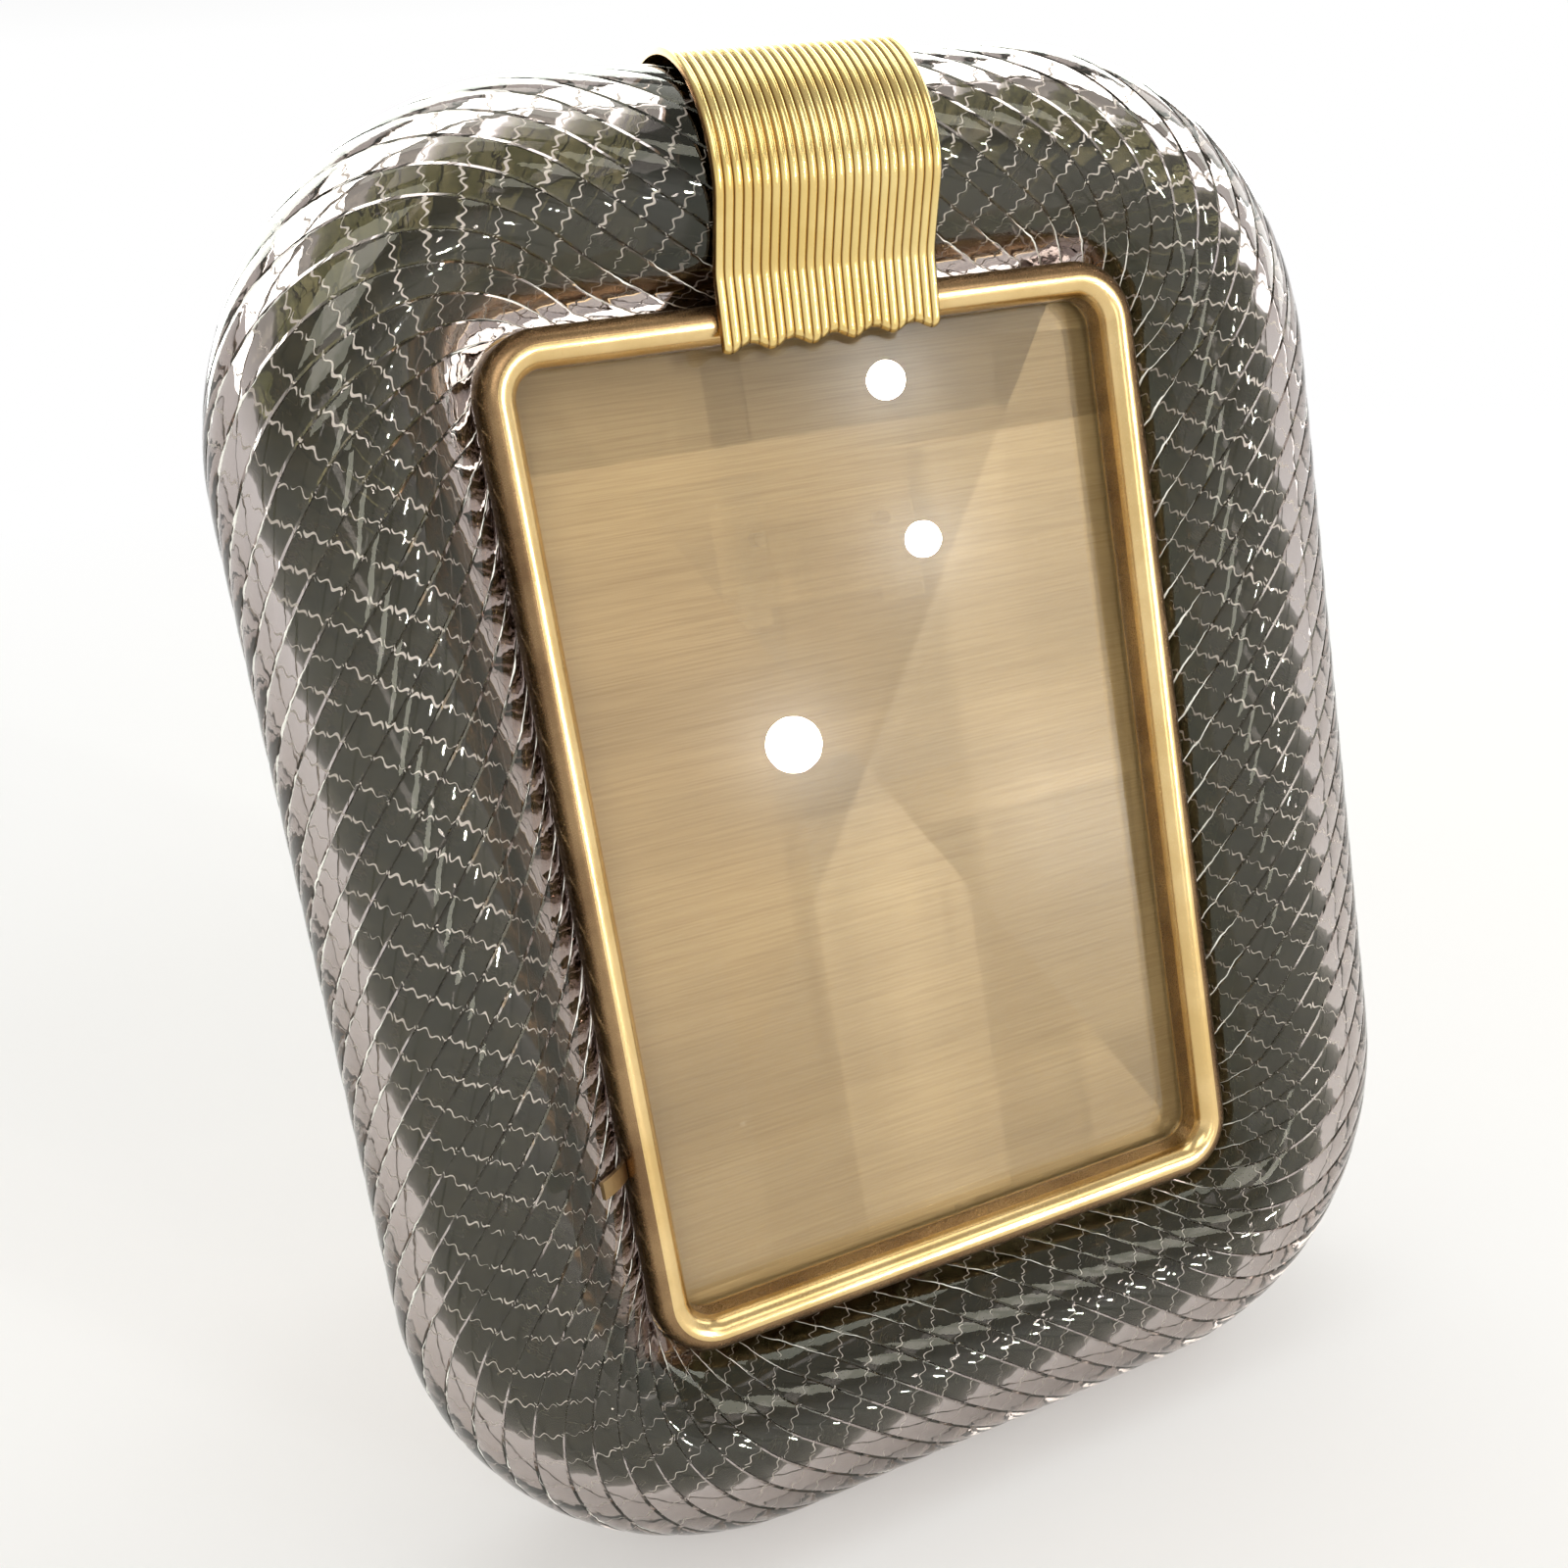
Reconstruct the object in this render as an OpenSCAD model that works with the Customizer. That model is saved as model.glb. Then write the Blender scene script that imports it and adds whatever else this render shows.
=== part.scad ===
// Table picture frame with a twisted solid glass ring, a brass bezel, a reeded brass clip and an easel strut.
// Each piece is drawn in the panel's own axes: x across, y to the back, z up, from the middle of the ring.
// The panel then leans back and stands on the ring's underside and on the strut's foot.

/* [Picture opening] */
// Width of the opening inside the bezel
opening_w = 96.8; // [85:0.2:115]
// Height of the opening inside the bezel
opening_h = 146.4; // [130:0.2:165]
// Corner radius of the opening
opening_r = 4.5; // [2.5:0.1:6]

/* [Bezel] */
// Diameter of the half-round bead
bead_d = 5.6; // [5:0.1:6.5]
// Distance of the bead's centre in front of the ring's middle plane
bead_front = 8.8; // [8.4:0.1:9.2]
// Depth of the lip from the bead's centre to the pane
lip_depth = 4.4; // [3.5:0.1:5]
// Wall of the skirt behind the lip
skirt_wall = 3.2; // [2.8:0.1:3.6]

/* [Glass ring] */
// Diameter of the twisted glass tube
tube_d = 35; // [33:0.5:37]
// Width of the tube along the long sides, where it is pressed out
side_tube_w = 36.7; // [35:0.1:38]
// How far the front of the tube is pressed flat on the bezel along the long sides
side_press = 2.2; // [0:0.1:3]
// Gap between the bezel and the ring
ring_gap = 0.3; // [0.3:0.05:0.6]
// Radius of the ring's inner corners
ring_inner_r = 10; // [9:0.5:11]
// Radius of the ring's outer corners
ring_outer_r = 54.2; // [48:0.5:58]
// Number of ridges round the tube
rope_ridges = 20; // [18:1:24]
// Distance between ridges along the tube
ridge_pitch = 7.1; // [5.5:0.1:8]
// Depth of the grooves between the ridges
ridge_depth = 0.8; // [0.4:0.1:1.4]
// Gap between the two ends of the bent tube, under the clip
tube_joint_gap = 1.2; // [0.6:0.1:3]

/* [Reeded clip] */
// Width of the clip across the tube
clip_w = 35.6; // [30:0.4:42]
// Thickness of the clip under its reeds
clip_wall = 0.9; // [0.8:0.1:1.1]
// Number of reeds across the clip
clip_reeds = 25; // [17:1:27]
// Height of a reed
reed_h = 0.6; // [0.3:0.05:0.7]
// Gap between the clip and the ridges of the tube
clip_gap = 1.1; // [0.8:0.1:1.4]
// Length of the flat tab that covers the bezel
tab_length = 11.2; // [10:0.1:12]
// Number of scallops on the tab's edge
scallops = 6; // [4:1:8]
// Depth of the scallops
scallop_depth = 1.2; // [0.6:0.1:1.6]

/* [Pane and board] */
// Thickness of the glass pane
pane_t = 2; // [1.8:0.1:2.4]
// Thickness of the wooden back board
board_t = 8.8; // [8.6:0.1:9.4]
// Play of the pane and the board in the skirt
board_play = 0.3; // [0.2:0.05:0.4]

/* [Rear frame and turn buttons] */
// Thickness of the flat rear frame
rear_t = 1.2; // [1:0.1:1.4]
// Gap between the rear frame's edge and the glass that it grips
rear_glass_gap = 0.15; // [0.1:0.05:0.3]
// Thickness of a turn button
button_t = 1.2; // [1:0.1:1.6]
// Width of a turn button
button_w = 3.8; // [3.4:0.1:4]
// Reach of a turn button from its screw to its tip's centre
button_reach = 8; // [6:0.5:10]
// Height of the turn buttons above and below the middle
button_z = 45; // [38:1:50]

/* [Small tab] */
// Width of the tab that lies over the shoulder of the glass
shoulder_tab_w = 2.8; // [2:0.1:4]
// Thickness of the tab
shoulder_tab_t = 0.7; // [0.5:0.1:1]
// Reach of the tab from the bezel
shoulder_tab_reach = 5.6; // [3:0.1:7]
// Distance of the tab below the middle
shoulder_tab_z = 45; // [35:1:55]

/* [Hinge and strut] */
// Height of the hinge above the ring's middle
hinge_z = 30; // [20:1:38]
// Width of the hinge
hinge_w = 36; // [32:1:42]
// Diameter of the hinge pin
pin_d = 2.4; // [2:0.1:2.6]
// Diameter of the hinge barrel
barrel_d = 4.8; // [4.4:0.1:5.2]
// Thickness of the hinge leaves
leaf_t = 1.2; // [1:0.1:1.4]
// Length of each hinge leaf from the pin
leaf_length = 20; // [18:0.5:24]
// Thickness of the strut
strut_t = 5; // [4:0.5:7]
// Width of the strut at the hinge
strut_top_w = 34; // [32:1:38]
// Width of the strut at its foot
strut_foot_w = 52; // [42:1:60]
// Angle between the strut and the board when it stands
strut_open = 34; // [30:1:38]
// How far the whole panel leans back
lean = 12; // [10:1:14]

/* [Hidden] */
$fn = 64;

// Distance by which a cut runs past what it cuts
overrun = 1;
// Radial play of a screw in its hole
screw_play = 0.05;
// Depth of a blind hole past its screw's end
screw_end_play = 0.4;
// Gap under and over a turn button
button_gap = 0.05;
// Play behind the board, under the turn buttons
board_back_play = 0.15;
// Radial play of the hinge pin in the barrel
pin_play = 0.05;
// Gap between neighbouring barrel pieces, and between the barrel and the board
barrel_gap = 0.3;
// Depth of the relief in the strut round the barrel
barrel_relief = 0.4;
// Gap between the strut's heel and the board's leaf when the strut stands
heel_gap = 0.05;
// Length of the strut above the pin
heel_length = 7;
// Gap between the tab and the glass under it, and between its root and the bead
shoulder_gap = 0.3;
shoulder_root_gap = 0.05;

// Small screws in the brass: shank, head radius and head height
small_shank_r = 0.9;
small_head_r = 1.8;
small_head_h = 0.8;
small_screw_depth = 5;
// Screws of the clip's foot, whose heads lie flush in the reeds
clip_shank_r = 0.6;
clip_head_r = 1;
clip_screw_depth = 4.4;
// Wood screws of the hinge
wood_shank_r = 1;
wood_head_r = 2.1;
wood_head_h = 1;
board_screw_depth = 6;
strut_screw_depth = 3.6;

// Rails of the bezel
bead_r = bead_d / 2;
rail_half_w = opening_w / 2 + bead_d;
rail_half_h = opening_h / 2 + bead_d;
rail_r = opening_r + bead_d;
bead_y = -bead_front;
pane_y = bead_y + lip_depth;
board_y = pane_y + pane_t;
board_back = board_y + board_t;
rear_back = board_back + board_back_play - button_gap;
rear_y = rear_back - rear_t;
skirt_half_w = rail_half_w - skirt_wall;
skirt_half_h = rail_half_h - skirt_wall;
skirt_r = rail_r - skirt_wall;
board_half_w = skirt_half_w - board_play;
board_half_h = skirt_half_h - board_play;
board_r = skirt_r - board_play;
skirt_mid_w = rail_half_w - skirt_wall / 2;
skirt_mid_h = rail_half_h - skirt_wall / 2;

// Inner and outer outlines of the ring
tube_r = tube_d / 2;
ring_in_w = rail_half_w + ring_gap;
ring_in_h = rail_half_h + ring_gap;
ring_out_w = ring_in_w + side_tube_w;
ring_out_h = ring_in_h + tube_d;
tube_z = ring_in_h + tube_r;

// The tube is narrowest across its corners, and the rear frame reaches behind it there
function corner_diagonal(w, h, r) = [w - r * (1 - cos(45)), h - r * (1 - sin(45))];
corner_half_w = norm(corner_diagonal(ring_out_w, ring_out_h, ring_outer_r)
    - corner_diagonal(ring_in_w, ring_in_h, ring_inner_r)) / 2;
rear_grip = corner_half_w * (1 - sqrt(1 - pow(rear_y / tube_r, 2))) - rear_glass_gap;

// The clip's line round the tube, seen from the side: angles are measured from below the tube, over its back
clip_r = tube_r + clip_gap;
clip_back_angle = asin(rear_back / clip_r);
clip_front_angle = 281;
clip_arc_steps = 16;
// Gap between the clip's tab and the bead, and the tab's slope
tab_lift = 0.42;
tab_slope = 6.5;
// Height of the clip's crease above the bezel
clip_crease_rise = 3.7;
crease_z = rail_half_h + clip_crease_rise;
crease_y = bead_y - bead_r - tab_lift - (clip_crease_rise + bead_r) * tan(tab_slope);

// Each ridge of the rope has three rows of points: a groove and two shoulders, at these shares of its width
ridge_shares = [0, 0.3, 0.7];
rope_columns = len(ridge_shares) * rope_ridges;
// Share of the groove's depth by which the shoulders lie under the full round
shoulder_drop_share = 0.06;
// Steps along half the top side, a corner, a long side
top_steps = 6;
corner_steps = 7;
side_steps = 17;
// Share of the tube's half turn over which the ridges fade towards the bezel
seat_share = 0.4;

// The hinge's axis
barrel_r = barrel_d / 2;
pin_r = pin_d / 2;
hinge_y = board_back + barrel_gap + barrel_r;
// Share of the hinge's width that the middle barrel piece takes
middle_barrel_share = 0.54;
middle_half_w = hinge_w * middle_barrel_share / 2;
strut_leaf_half_w = hinge_w * 0.4;
strut_back = barrel_r + strut_t;

// How the panel stands
stand_h = tube_z * cos(lean) + tube_r;
strut_tilt = strut_open - lean;
hinge_world_y = hinge_y * cos(lean) + hinge_z * sin(lean);
hinge_world_z = stand_h - hinge_y * sin(lean) + hinge_z * cos(lean);
strut_run = (hinge_world_z + strut_back * sin(strut_tilt)) / cos(strut_tilt);
foot_back_y = hinge_world_y + strut_back * cos(strut_tilt) + strut_run * sin(strut_tilt);
ring_front_y = -tube_z * sin(lean) - tube_r;
origin_y = (foot_back_y + ring_front_y) / 2;

brass = [0.72, 0.56, 0.28];
dark_brass = [0.5, 0.38, 0.2];
smoky_glass = [0.5, 0.54, 0.48, 0.6];
clear_glass = [0.85, 0.88, 0.86, 0.4];
wood = [0.72, 0.57, 0.37];

// Stand the panel on its underside, leaning back
module standing() {
    translate([0, -origin_y, stand_h]) rotate([-lean, 0, 0]) children();
}

// Hold the strut's pieces at the hinge, open
module strut_open_pose() {
    standing() translate([0, hinge_y, hinge_z]) rotate([strut_open, 0, 0]) children();
}

// Turn a flat outline in x and z into a plate that grows towards the back
module plate(thickness) {
    rotate([90, 0, 0]) mirror([0, 0, 1]) linear_extrude(thickness) children();
}

module rounded_outline(half_w, half_h, r) {
    square([2 * (half_w - r), 2 * half_h], center = true);
    square([2 * half_w, 2 * (half_h - r)], center = true);
    for (x = [-1, 1], z = [-1, 1])
        translate([x * (half_w - r), z * (half_h - r)]) circle(r);
}

// A pan-head screw along y, its head to the back, from the face that its head sits on
module screw(shank_r, depth, head_r, head_h) {
    rotate([-90, 0, 0]) rotate_extrude() {
        translate([0, -depth]) square([shank_r, depth]);
        intersection() {
            square([head_r, head_h]);
            translate([0, -head_r * 0.9]) circle(head_h + head_r * 0.9);
        }
    }
}

module screw_hole(shank_r, depth) {
    rotate([90, 0, 0]) translate([0, 0, -overrun])
        cylinder(r = shank_r + screw_play, h = depth + overrun);
}

// Places of the rear frame's screws, as shares of the opening's half height and half width
rear_side_screw_shares = [0.2, 0.9];
rear_end_screw_share = 0.6;

module at_rear_screws() {
    for (x = [-1, 1], z = [-1, 1]) {
        for (share = rear_side_screw_shares)
            translate([x * skirt_mid_w, rear_back, z * share * opening_h / 2]) children();
        translate([x * rear_end_screw_share * opening_w / 2, rear_back, z * skirt_mid_h]) children();
    }
}

module at_clip_screws() {
    for (x = [-1, 1])
        translate([x * clip_w / 3, rear_back, skirt_mid_h]) children();
}

module at_buttons() {
    for (x = [-1, 1], z = [-1, 1])
        translate([x * skirt_mid_w, rear_back, z * button_z]) children();
}

// Places of the hinge's screws, two on each leaf
board_screw_x = 11;
board_screw_rise = 14;
strut_screw_x = 8;
strut_screw_drop = [8.5, 15.5];

module at_board_screws() {
    for (x = [-1, 1])
        translate([x * board_screw_x, board_back + leaf_t, hinge_z + board_screw_rise]) children();
}

module at_strut_screws() {
    for (x = [-1, 1], drop = strut_screw_drop)
        translate([x * strut_screw_x, barrel_r - leaf_t, -drop]) rotate([0, 0, 180]) children();
}

// The bezel's section: x outwards from the opening, y to the back
module rail_section() {
    translate([bead_r, bead_y]) circle(bead_r);
    translate([0, bead_y]) square([bead_d, lip_depth]);
    translate([bead_d - skirt_wall, bead_y]) square([skirt_wall, rear_y - bead_y]);
}

module rail(length) {
    translate([0, 0, -length / 2]) linear_extrude(length) rail_section();
}

module rail_corner() {
    rotate([90, 0, 0]) rotate_extrude(angle = 90) translate([opening_r, 0]) mirror([0, 1]) rail_section();
}

module bezel() {
    corner_x = opening_w / 2 - opening_r;
    corner_z = opening_h / 2 - opening_r;
    color(brass) standing() difference() {
        union() {
            for (x = [0, 1]) mirror([x, 0, 0]) {
                translate([opening_w / 2, 0, 0]) rail(2 * corner_z);
                for (z = [0, 1]) mirror([0, 0, z]) translate([corner_x, 0, corner_z]) rail_corner();
            }
            for (z = [0, 1]) mirror([0, 0, z])
                translate([0, 0, opening_h / 2]) rotate([0, -90, 0]) rail(2 * corner_x);
        }
        at_rear_screws() screw_hole(small_shank_r, small_screw_depth + screw_end_play);
        at_buttons() screw_hole(small_shank_r, small_screw_depth + screw_end_play);
        at_clip_screws() screw_hole(clip_shank_r, clip_screw_depth + screw_end_play);
    }
}

// Tab that lies over the shoulder of the glass beside the bezel's left rail. Its section follows the glass.
module ring_tabs() {
    half_w = (side_tube_w + side_press) / 2;
    tip_angle = acos(1 - (ring_out_w - rail_half_w - shoulder_tab_reach) / half_w);
    root_angle = acos(1 - side_tube_w / half_w);
    steps = 8;
    function shoulder(angle, height) =
        let (out = [cos(angle) / half_w, -sin(angle) / tube_r])
        [ring_out_w - half_w * (1 - cos(angle)), -tube_r * sin(angle)] + height * out / norm(out);
    function shoulder_line(from, to, height) =
        [for (i = [0:steps]) shoulder(from + (to - from) * i / steps, height)];
    color(brass) standing() mirror([1, 0, 0])
        translate([0, 0, -shoulder_tab_z]) linear_extrude(shoulder_tab_w, center = true) difference() {
            polygon(concat(shoulder_line(tip_angle, root_angle, shoulder_gap),
                shoulder_line(root_angle, tip_angle, shoulder_gap + shoulder_tab_t)));
            translate([opening_w / 2 + bead_r, bead_y]) circle(bead_r + shoulder_root_gap);
        }
}

module glass_pane() {
    color(clear_glass) standing() translate([0, pane_y, 0]) plate(pane_t)
        rounded_outline(board_half_w, board_half_h, board_r);
}

module back_board() {
    color(wood) standing() difference() {
        translate([0, board_y, 0]) plate(board_t) rounded_outline(board_half_w, board_half_h, board_r);
        at_board_screws() screw_hole(wood_shank_r, board_screw_depth + leaf_t + screw_end_play);
    }
}

module rear_frame() {
    color(brass) standing() difference() {
        translate([0, rear_y, 0]) plate(rear_t) difference() {
            rounded_outline(ring_in_w + rear_grip, ring_in_h + rear_grip, ring_inner_r + rear_grip);
            rounded_outline(skirt_half_w, skirt_half_h, skirt_r);
        }
        at_rear_screws() screw_hole(small_shank_r, rear_t + overrun);
        at_buttons() screw_hole(small_shank_r, rear_t + overrun);
        at_clip_screws() screw_hole(clip_shank_r, rear_t + overrun);
    }
}

module rear_frame_screws() {
    color(dark_brass) standing() at_rear_screws()
        screw(small_shank_r, small_screw_depth, small_head_r, small_head_h);
}

// A turn button with a round nib near its tip, from the back of the rear frame
module turn_button(x, z) {
    nib_r = button_w * 0.3;
    color(brass) standing() translate([x * skirt_mid_w, rear_back + button_gap, z * button_z])
        mirror([x > 0 ? 1 : 0, 0, 0]) {
            plate(button_t) difference() {
                union() {
                    circle(button_w / 2);
                    translate([0, -button_w / 2]) square([button_reach, button_w]);
                    translate([button_reach, 0]) circle(button_w / 2);
                }
                circle(small_shank_r + screw_play);
            }
            translate([button_reach, button_t, 0]) plate(button_t / 2) circle(nib_r);
        }
}

module turn_button_screws() {
    lift = button_t + 2 * button_gap;
    color(dark_brass) standing() at_buttons() translate([0, lift, 0])
        screw(small_shank_r, small_screw_depth + lift, small_head_r, small_head_h);
}

// The ring's middle line is walked from the middle of the top, to the left and down. Legs 0, 2, 4, 6 and 8
// are straight, the others are corners. Each station across the ring has its inner point and its outer point,
// and at a corner both lie on one line from the middle of the outer outline's bend.
bend_x = ring_out_w - ring_outer_r;
bend_z = ring_out_h - ring_outer_r;
inner_reach = [ring_in_w - bend_x, ring_in_h - bend_z];
inner_bend = inner_reach - [ring_inner_r, ring_inner_r];

// Distance from that middle to the inner outline, towards an angle
function inner_distance(turn) =
    let (c = abs(cos(turn)), s = abs(sin(turn)), along = inner_bend * [c, s])
    s * inner_reach[0] < inner_bend[1] * c ? inner_reach[0] / c
    : c * inner_reach[1] < inner_bend[0] * s ? inner_reach[1] / s
    : along + sqrt(pow(along, 2) - inner_bend * inner_bend + pow(ring_inner_r, 2));

function straight_mid(leg, f) =
    leg == 0 ? [-tube_joint_gap / 2 - (bend_x - tube_joint_gap / 2) * f, bend_z]
    : leg == 2 ? [-bend_x, bend_z * (1 - 2 * f)]
    : leg == 4 ? [-bend_x * (1 - 2 * f), -bend_z]
    : leg == 6 ? [bend_x, -bend_z * (1 - 2 * f)]
    : [bend_x - (bend_x - tube_joint_gap / 2) * f, bend_z];

// A station is its inner point, its outer point and how far the tube's front is pressed there
function ring_station(leg, f) =
    let (corner = leg % 2 == 1, turn = corner ? 45 * (leg + 1) + 90 * f : 90 + 45 * leg,
        out = [cos(turn), sin(turn)],
        bend = [leg < 4 ? -bend_x : bend_x, leg == 1 || leg == 7 ? bend_z : -bend_z],
        mid = corner ? bend : straight_mid(leg, f))
    [mid + out * inner_distance(turn), mid + out * ring_outer_r, side_press * abs(cos(turn))];

ring_leg_steps = [top_steps, corner_steps, side_steps, corner_steps, 2 * top_steps, corner_steps, side_steps,
    corner_steps, top_steps];
ring_legs = len(ring_leg_steps) - 1;
ring_stations = concat([for (leg = [0:ring_legs]) for (i = [0:ring_leg_steps[leg] - 1])
    ring_station(leg, i / ring_leg_steps[leg])], [ring_station(ring_legs, 1)]);
station_mids = [for (s = ring_stations) (s[0] + s[1]) / 2];

// Length of the tube's middle line up to each station
function run_to(i) = i == 0 ? [0] : let (before = run_to(i - 1))
    concat(before, [before[i - 1] + norm(station_mids[i] - station_mids[i - 1])]);
station_runs = run_to(len(ring_stations) - 1);

// The solid twisted tube: ridges run outwards over its front as it goes down the left side, and fade towards
// the bezel, where the pressed front lies flat on the inner outline
module glass_ring() {
    count = len(ring_stations);
    turn_per_length = 360 / rope_ridges / ridge_pitch;
    points = [for (i = [0:count - 1])
        let (s = ring_stations[i], width = norm(s[1] - s[0]), inwards = (s[0] - s[1]) / width)
        for (k = [0:rope_columns - 1])
            let (column = k % len(ridge_shares),
                angle = 360 * (floor(k / len(ridge_shares)) + ridge_shares[column]) / rope_ridges
                    - turn_per_length * station_runs[i],
                fade = min(1, (1 + cos(angle)) / seat_share),
                scale_share = 1 - (column == 0 ? 1 : shoulder_drop_share) * fade * ridge_depth / tube_r,
                half_w = (width + (sin(angle) > 0 ? s[2] : 0)) / 2,
                across = s[1] + inwards * min(width, half_w * (1 - cos(angle) * scale_share)))
            [across[0], -tube_r * sin(angle) * scale_share, across[1]]];
    walls = [for (i = [0:count - 2]) for (k = [0:rope_columns - 1])
        let (a = i * rope_columns + k, b = i * rope_columns + (k + 1) % rope_columns)
            each [[a, b, a + rope_columns], [b, b + rope_columns, a + rope_columns]]];
    first_end = [for (k = [rope_columns - 1:-1:0]) k];
    last_end = [for (k = [0:rope_columns - 1]) (count - 1) * rope_columns + k];
    color(smoky_glass) standing() polyhedron(points, concat(walls, [first_end, last_end]));
}

// The clip's inner line from its foot, over the back and the top of the tube, to the tab's crease. Each row
// is [y, z, outward y, outward z], and at a bend the outward part is the mitre of the two sides.
function clip_arc_out(angle) = [sin(angle), -cos(angle)];
function clip_arc_row(angle) = concat([0, tube_z] + clip_r * clip_arc_out(angle), clip_arc_out(angle));
function mitre(out_a, out_b) = (out_a + out_b) / (1 + out_a * out_b);
clip_arc = [for (i = [0:clip_arc_steps])
    clip_arc_row(clip_back_angle + (clip_front_angle - clip_back_angle) * i / clip_arc_steps)];
clip_fall = [crease_y - clip_arc[clip_arc_steps][0], crease_z - clip_arc[clip_arc_steps][1]];
clip_fall_out = [clip_fall[1], -clip_fall[0]] / norm(clip_fall);
tab_out = [-cos(tab_slope), -sin(tab_slope)];
clip_rows = concat(
    [[rear_back, skirt_half_h, 1, 0]],
    [concat([rear_back, clip_arc[0][1]], mitre([1, 0], clip_arc_out(clip_back_angle)))],
    [for (i = [1:clip_arc_steps]) clip_arc[i]],
    [concat([crease_y, crease_z], mitre(clip_fall_out, tab_out))]);

// Share of a scallop between its lowest point and the clip's side
scallop_edge_share = 0.17;
scallop_pitch = clip_w / (scallops - 1 + 2 * scallop_edge_share);
// A reed's section across the clip: a groove at its start, then a flat crest between these shares of it
reed_shares = [0, 0.25, 0.75];

// How far the tab reaches below the crease at a place across the clip
function tab_reach(x) = let (turn = 360 * ((x + clip_w / 2) / scallop_pitch - scallop_edge_share))
    tab_length - scallop_depth * (1 - cos(turn)) / 2;

// A point of the clip at x across it, in a row, at some height over its inner side
function clip_point(x, row, height) =
    let (reach = tab_reach(x), line = row < len(clip_rows) ? clip_rows[row]
        : concat([crease_y + reach * sin(tab_slope), crease_z - reach * cos(tab_slope)], tab_out))
    [x, line[0] + height * line[2], line[1] + height * line[3]];

// The clip's reeded outer side has three columns of points to a reed, its plain inner side has one
module reeded_sheet() {
    rows = len(clip_rows) + 1;
    outer_columns = 3 * clip_reeds + 1;
    inner_columns = clip_reeds + 1;
    reed_pitch = clip_w / clip_reeds;
    outer = [for (row = [0:rows - 1]) for (c = [0:outer_columns - 1])
        clip_point(reed_pitch * (floor(c / 3) + reed_shares[c % 3]) - clip_w / 2, row,
            clip_wall + (c % 3 > 0 ? reed_h : 0))];
    inner = [for (row = [0:rows - 1]) for (c = [0:inner_columns - 1])
        clip_point(reed_pitch * c - clip_w / 2, row, 0)];
    start = len(outer);
    outer_skin = [for (row = [0:rows - 2]) for (c = [0:outer_columns - 2])
        let (a = row * outer_columns + c, d = a + outer_columns) each [[a, d, a + 1], [a + 1, d, d + 1]]];
    inner_skin = [for (row = [0:rows - 2]) for (c = [0:inner_columns - 2])
        let (a = start + row * inner_columns + c, d = a + inner_columns)
            each [[a, a + 1, d], [a + 1, d + 1, d]]];
    sides = [for (row = [0:rows - 2])
        let (a = row * outer_columns, b = a + outer_columns,
            i = start + row * inner_columns, j = i + inner_columns)
            each [[i, j, a], [j, b, a], [a + outer_columns - 1, b + outer_columns - 1, i + inner_columns - 1],
                [b + outer_columns - 1, j + inner_columns - 1, i + inner_columns - 1]]];
    ends = [for (r = [0:clip_reeds - 1])
        let (a = 3 * r, i = start + r,
            b = (rows - 1) * outer_columns + a, j = start + (rows - 1) * inner_columns + r)
            each [[i, a, a + 1], [i, a + 1, a + 2], [i, a + 2, i + 1], [i + 1, a + 2, a + 3],
                [j, b + 1, b], [j, b + 2, b + 1], [j, j + 1, b + 2], [j + 1, b + 3, b + 2]]];
    polyhedron(concat(outer, inner), concat(outer_skin, inner_skin, sides, ends));
}

module reeded_clip() {
    color(brass) standing() difference() {
        reeded_sheet();
        at_clip_screws() {
            screw_hole(clip_shank_r, overrun);
            translate([0, clip_wall, 0]) rotate([-90, 0, 0])
                cylinder(r = clip_shank_r + screw_play, h = 2 * overrun, center = true);
            translate([0, clip_wall, 0]) rotate([-90, 0, 0])
                cylinder(r = clip_head_r + screw_play, h = overrun);
        }
    }
}

module clip_screws() {
    color(dark_brass) standing() at_clip_screws() translate([0, clip_wall, 0])
        screw(clip_shank_r, clip_screw_depth + clip_wall, clip_head_r, reed_h);
}

// Hinge leaf on the board, with the two outer barrel pieces
module hinge_board_leaf() {
    outer_barrel_l = hinge_w / 2 - middle_half_w - barrel_gap / 2;
    color(brass) standing() difference() {
        union() {
            difference() {
                translate([-hinge_w / 2, board_back, hinge_z]) cube([hinge_w, leaf_t, leaf_length]);
                translate([-middle_half_w - barrel_gap / 2, board_back - overrun, hinge_z - overrun])
                    cube([2 * middle_half_w + barrel_gap, leaf_t + 2 * overrun,
                        overrun + barrel_r + barrel_gap]);
            }
            for (x = [0, 1]) mirror([x, 0, 0])
                translate([middle_half_w + barrel_gap / 2, hinge_y, hinge_z])
                    rotate([0, 90, 0]) cylinder(r = barrel_r, h = outer_barrel_l);
        }
        translate([-hinge_w, hinge_y, hinge_z]) rotate([0, 90, 0])
            cylinder(r = pin_r + pin_play, h = 2 * hinge_w);
        at_board_screws() screw_hole(wood_shank_r, leaf_t + overrun);
    }
}

module board_leaf_screws() {
    color(dark_brass) standing() at_board_screws()
        screw(wood_shank_r, board_screw_depth + leaf_t, wood_head_r, wood_head_h);
}

module hinge_pin() {
    color(dark_brass) standing() translate([-hinge_w / 2, hinge_y, hinge_z]) rotate([0, 90, 0])
        cylinder(r = pin_r, h = hinge_w);
}

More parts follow.
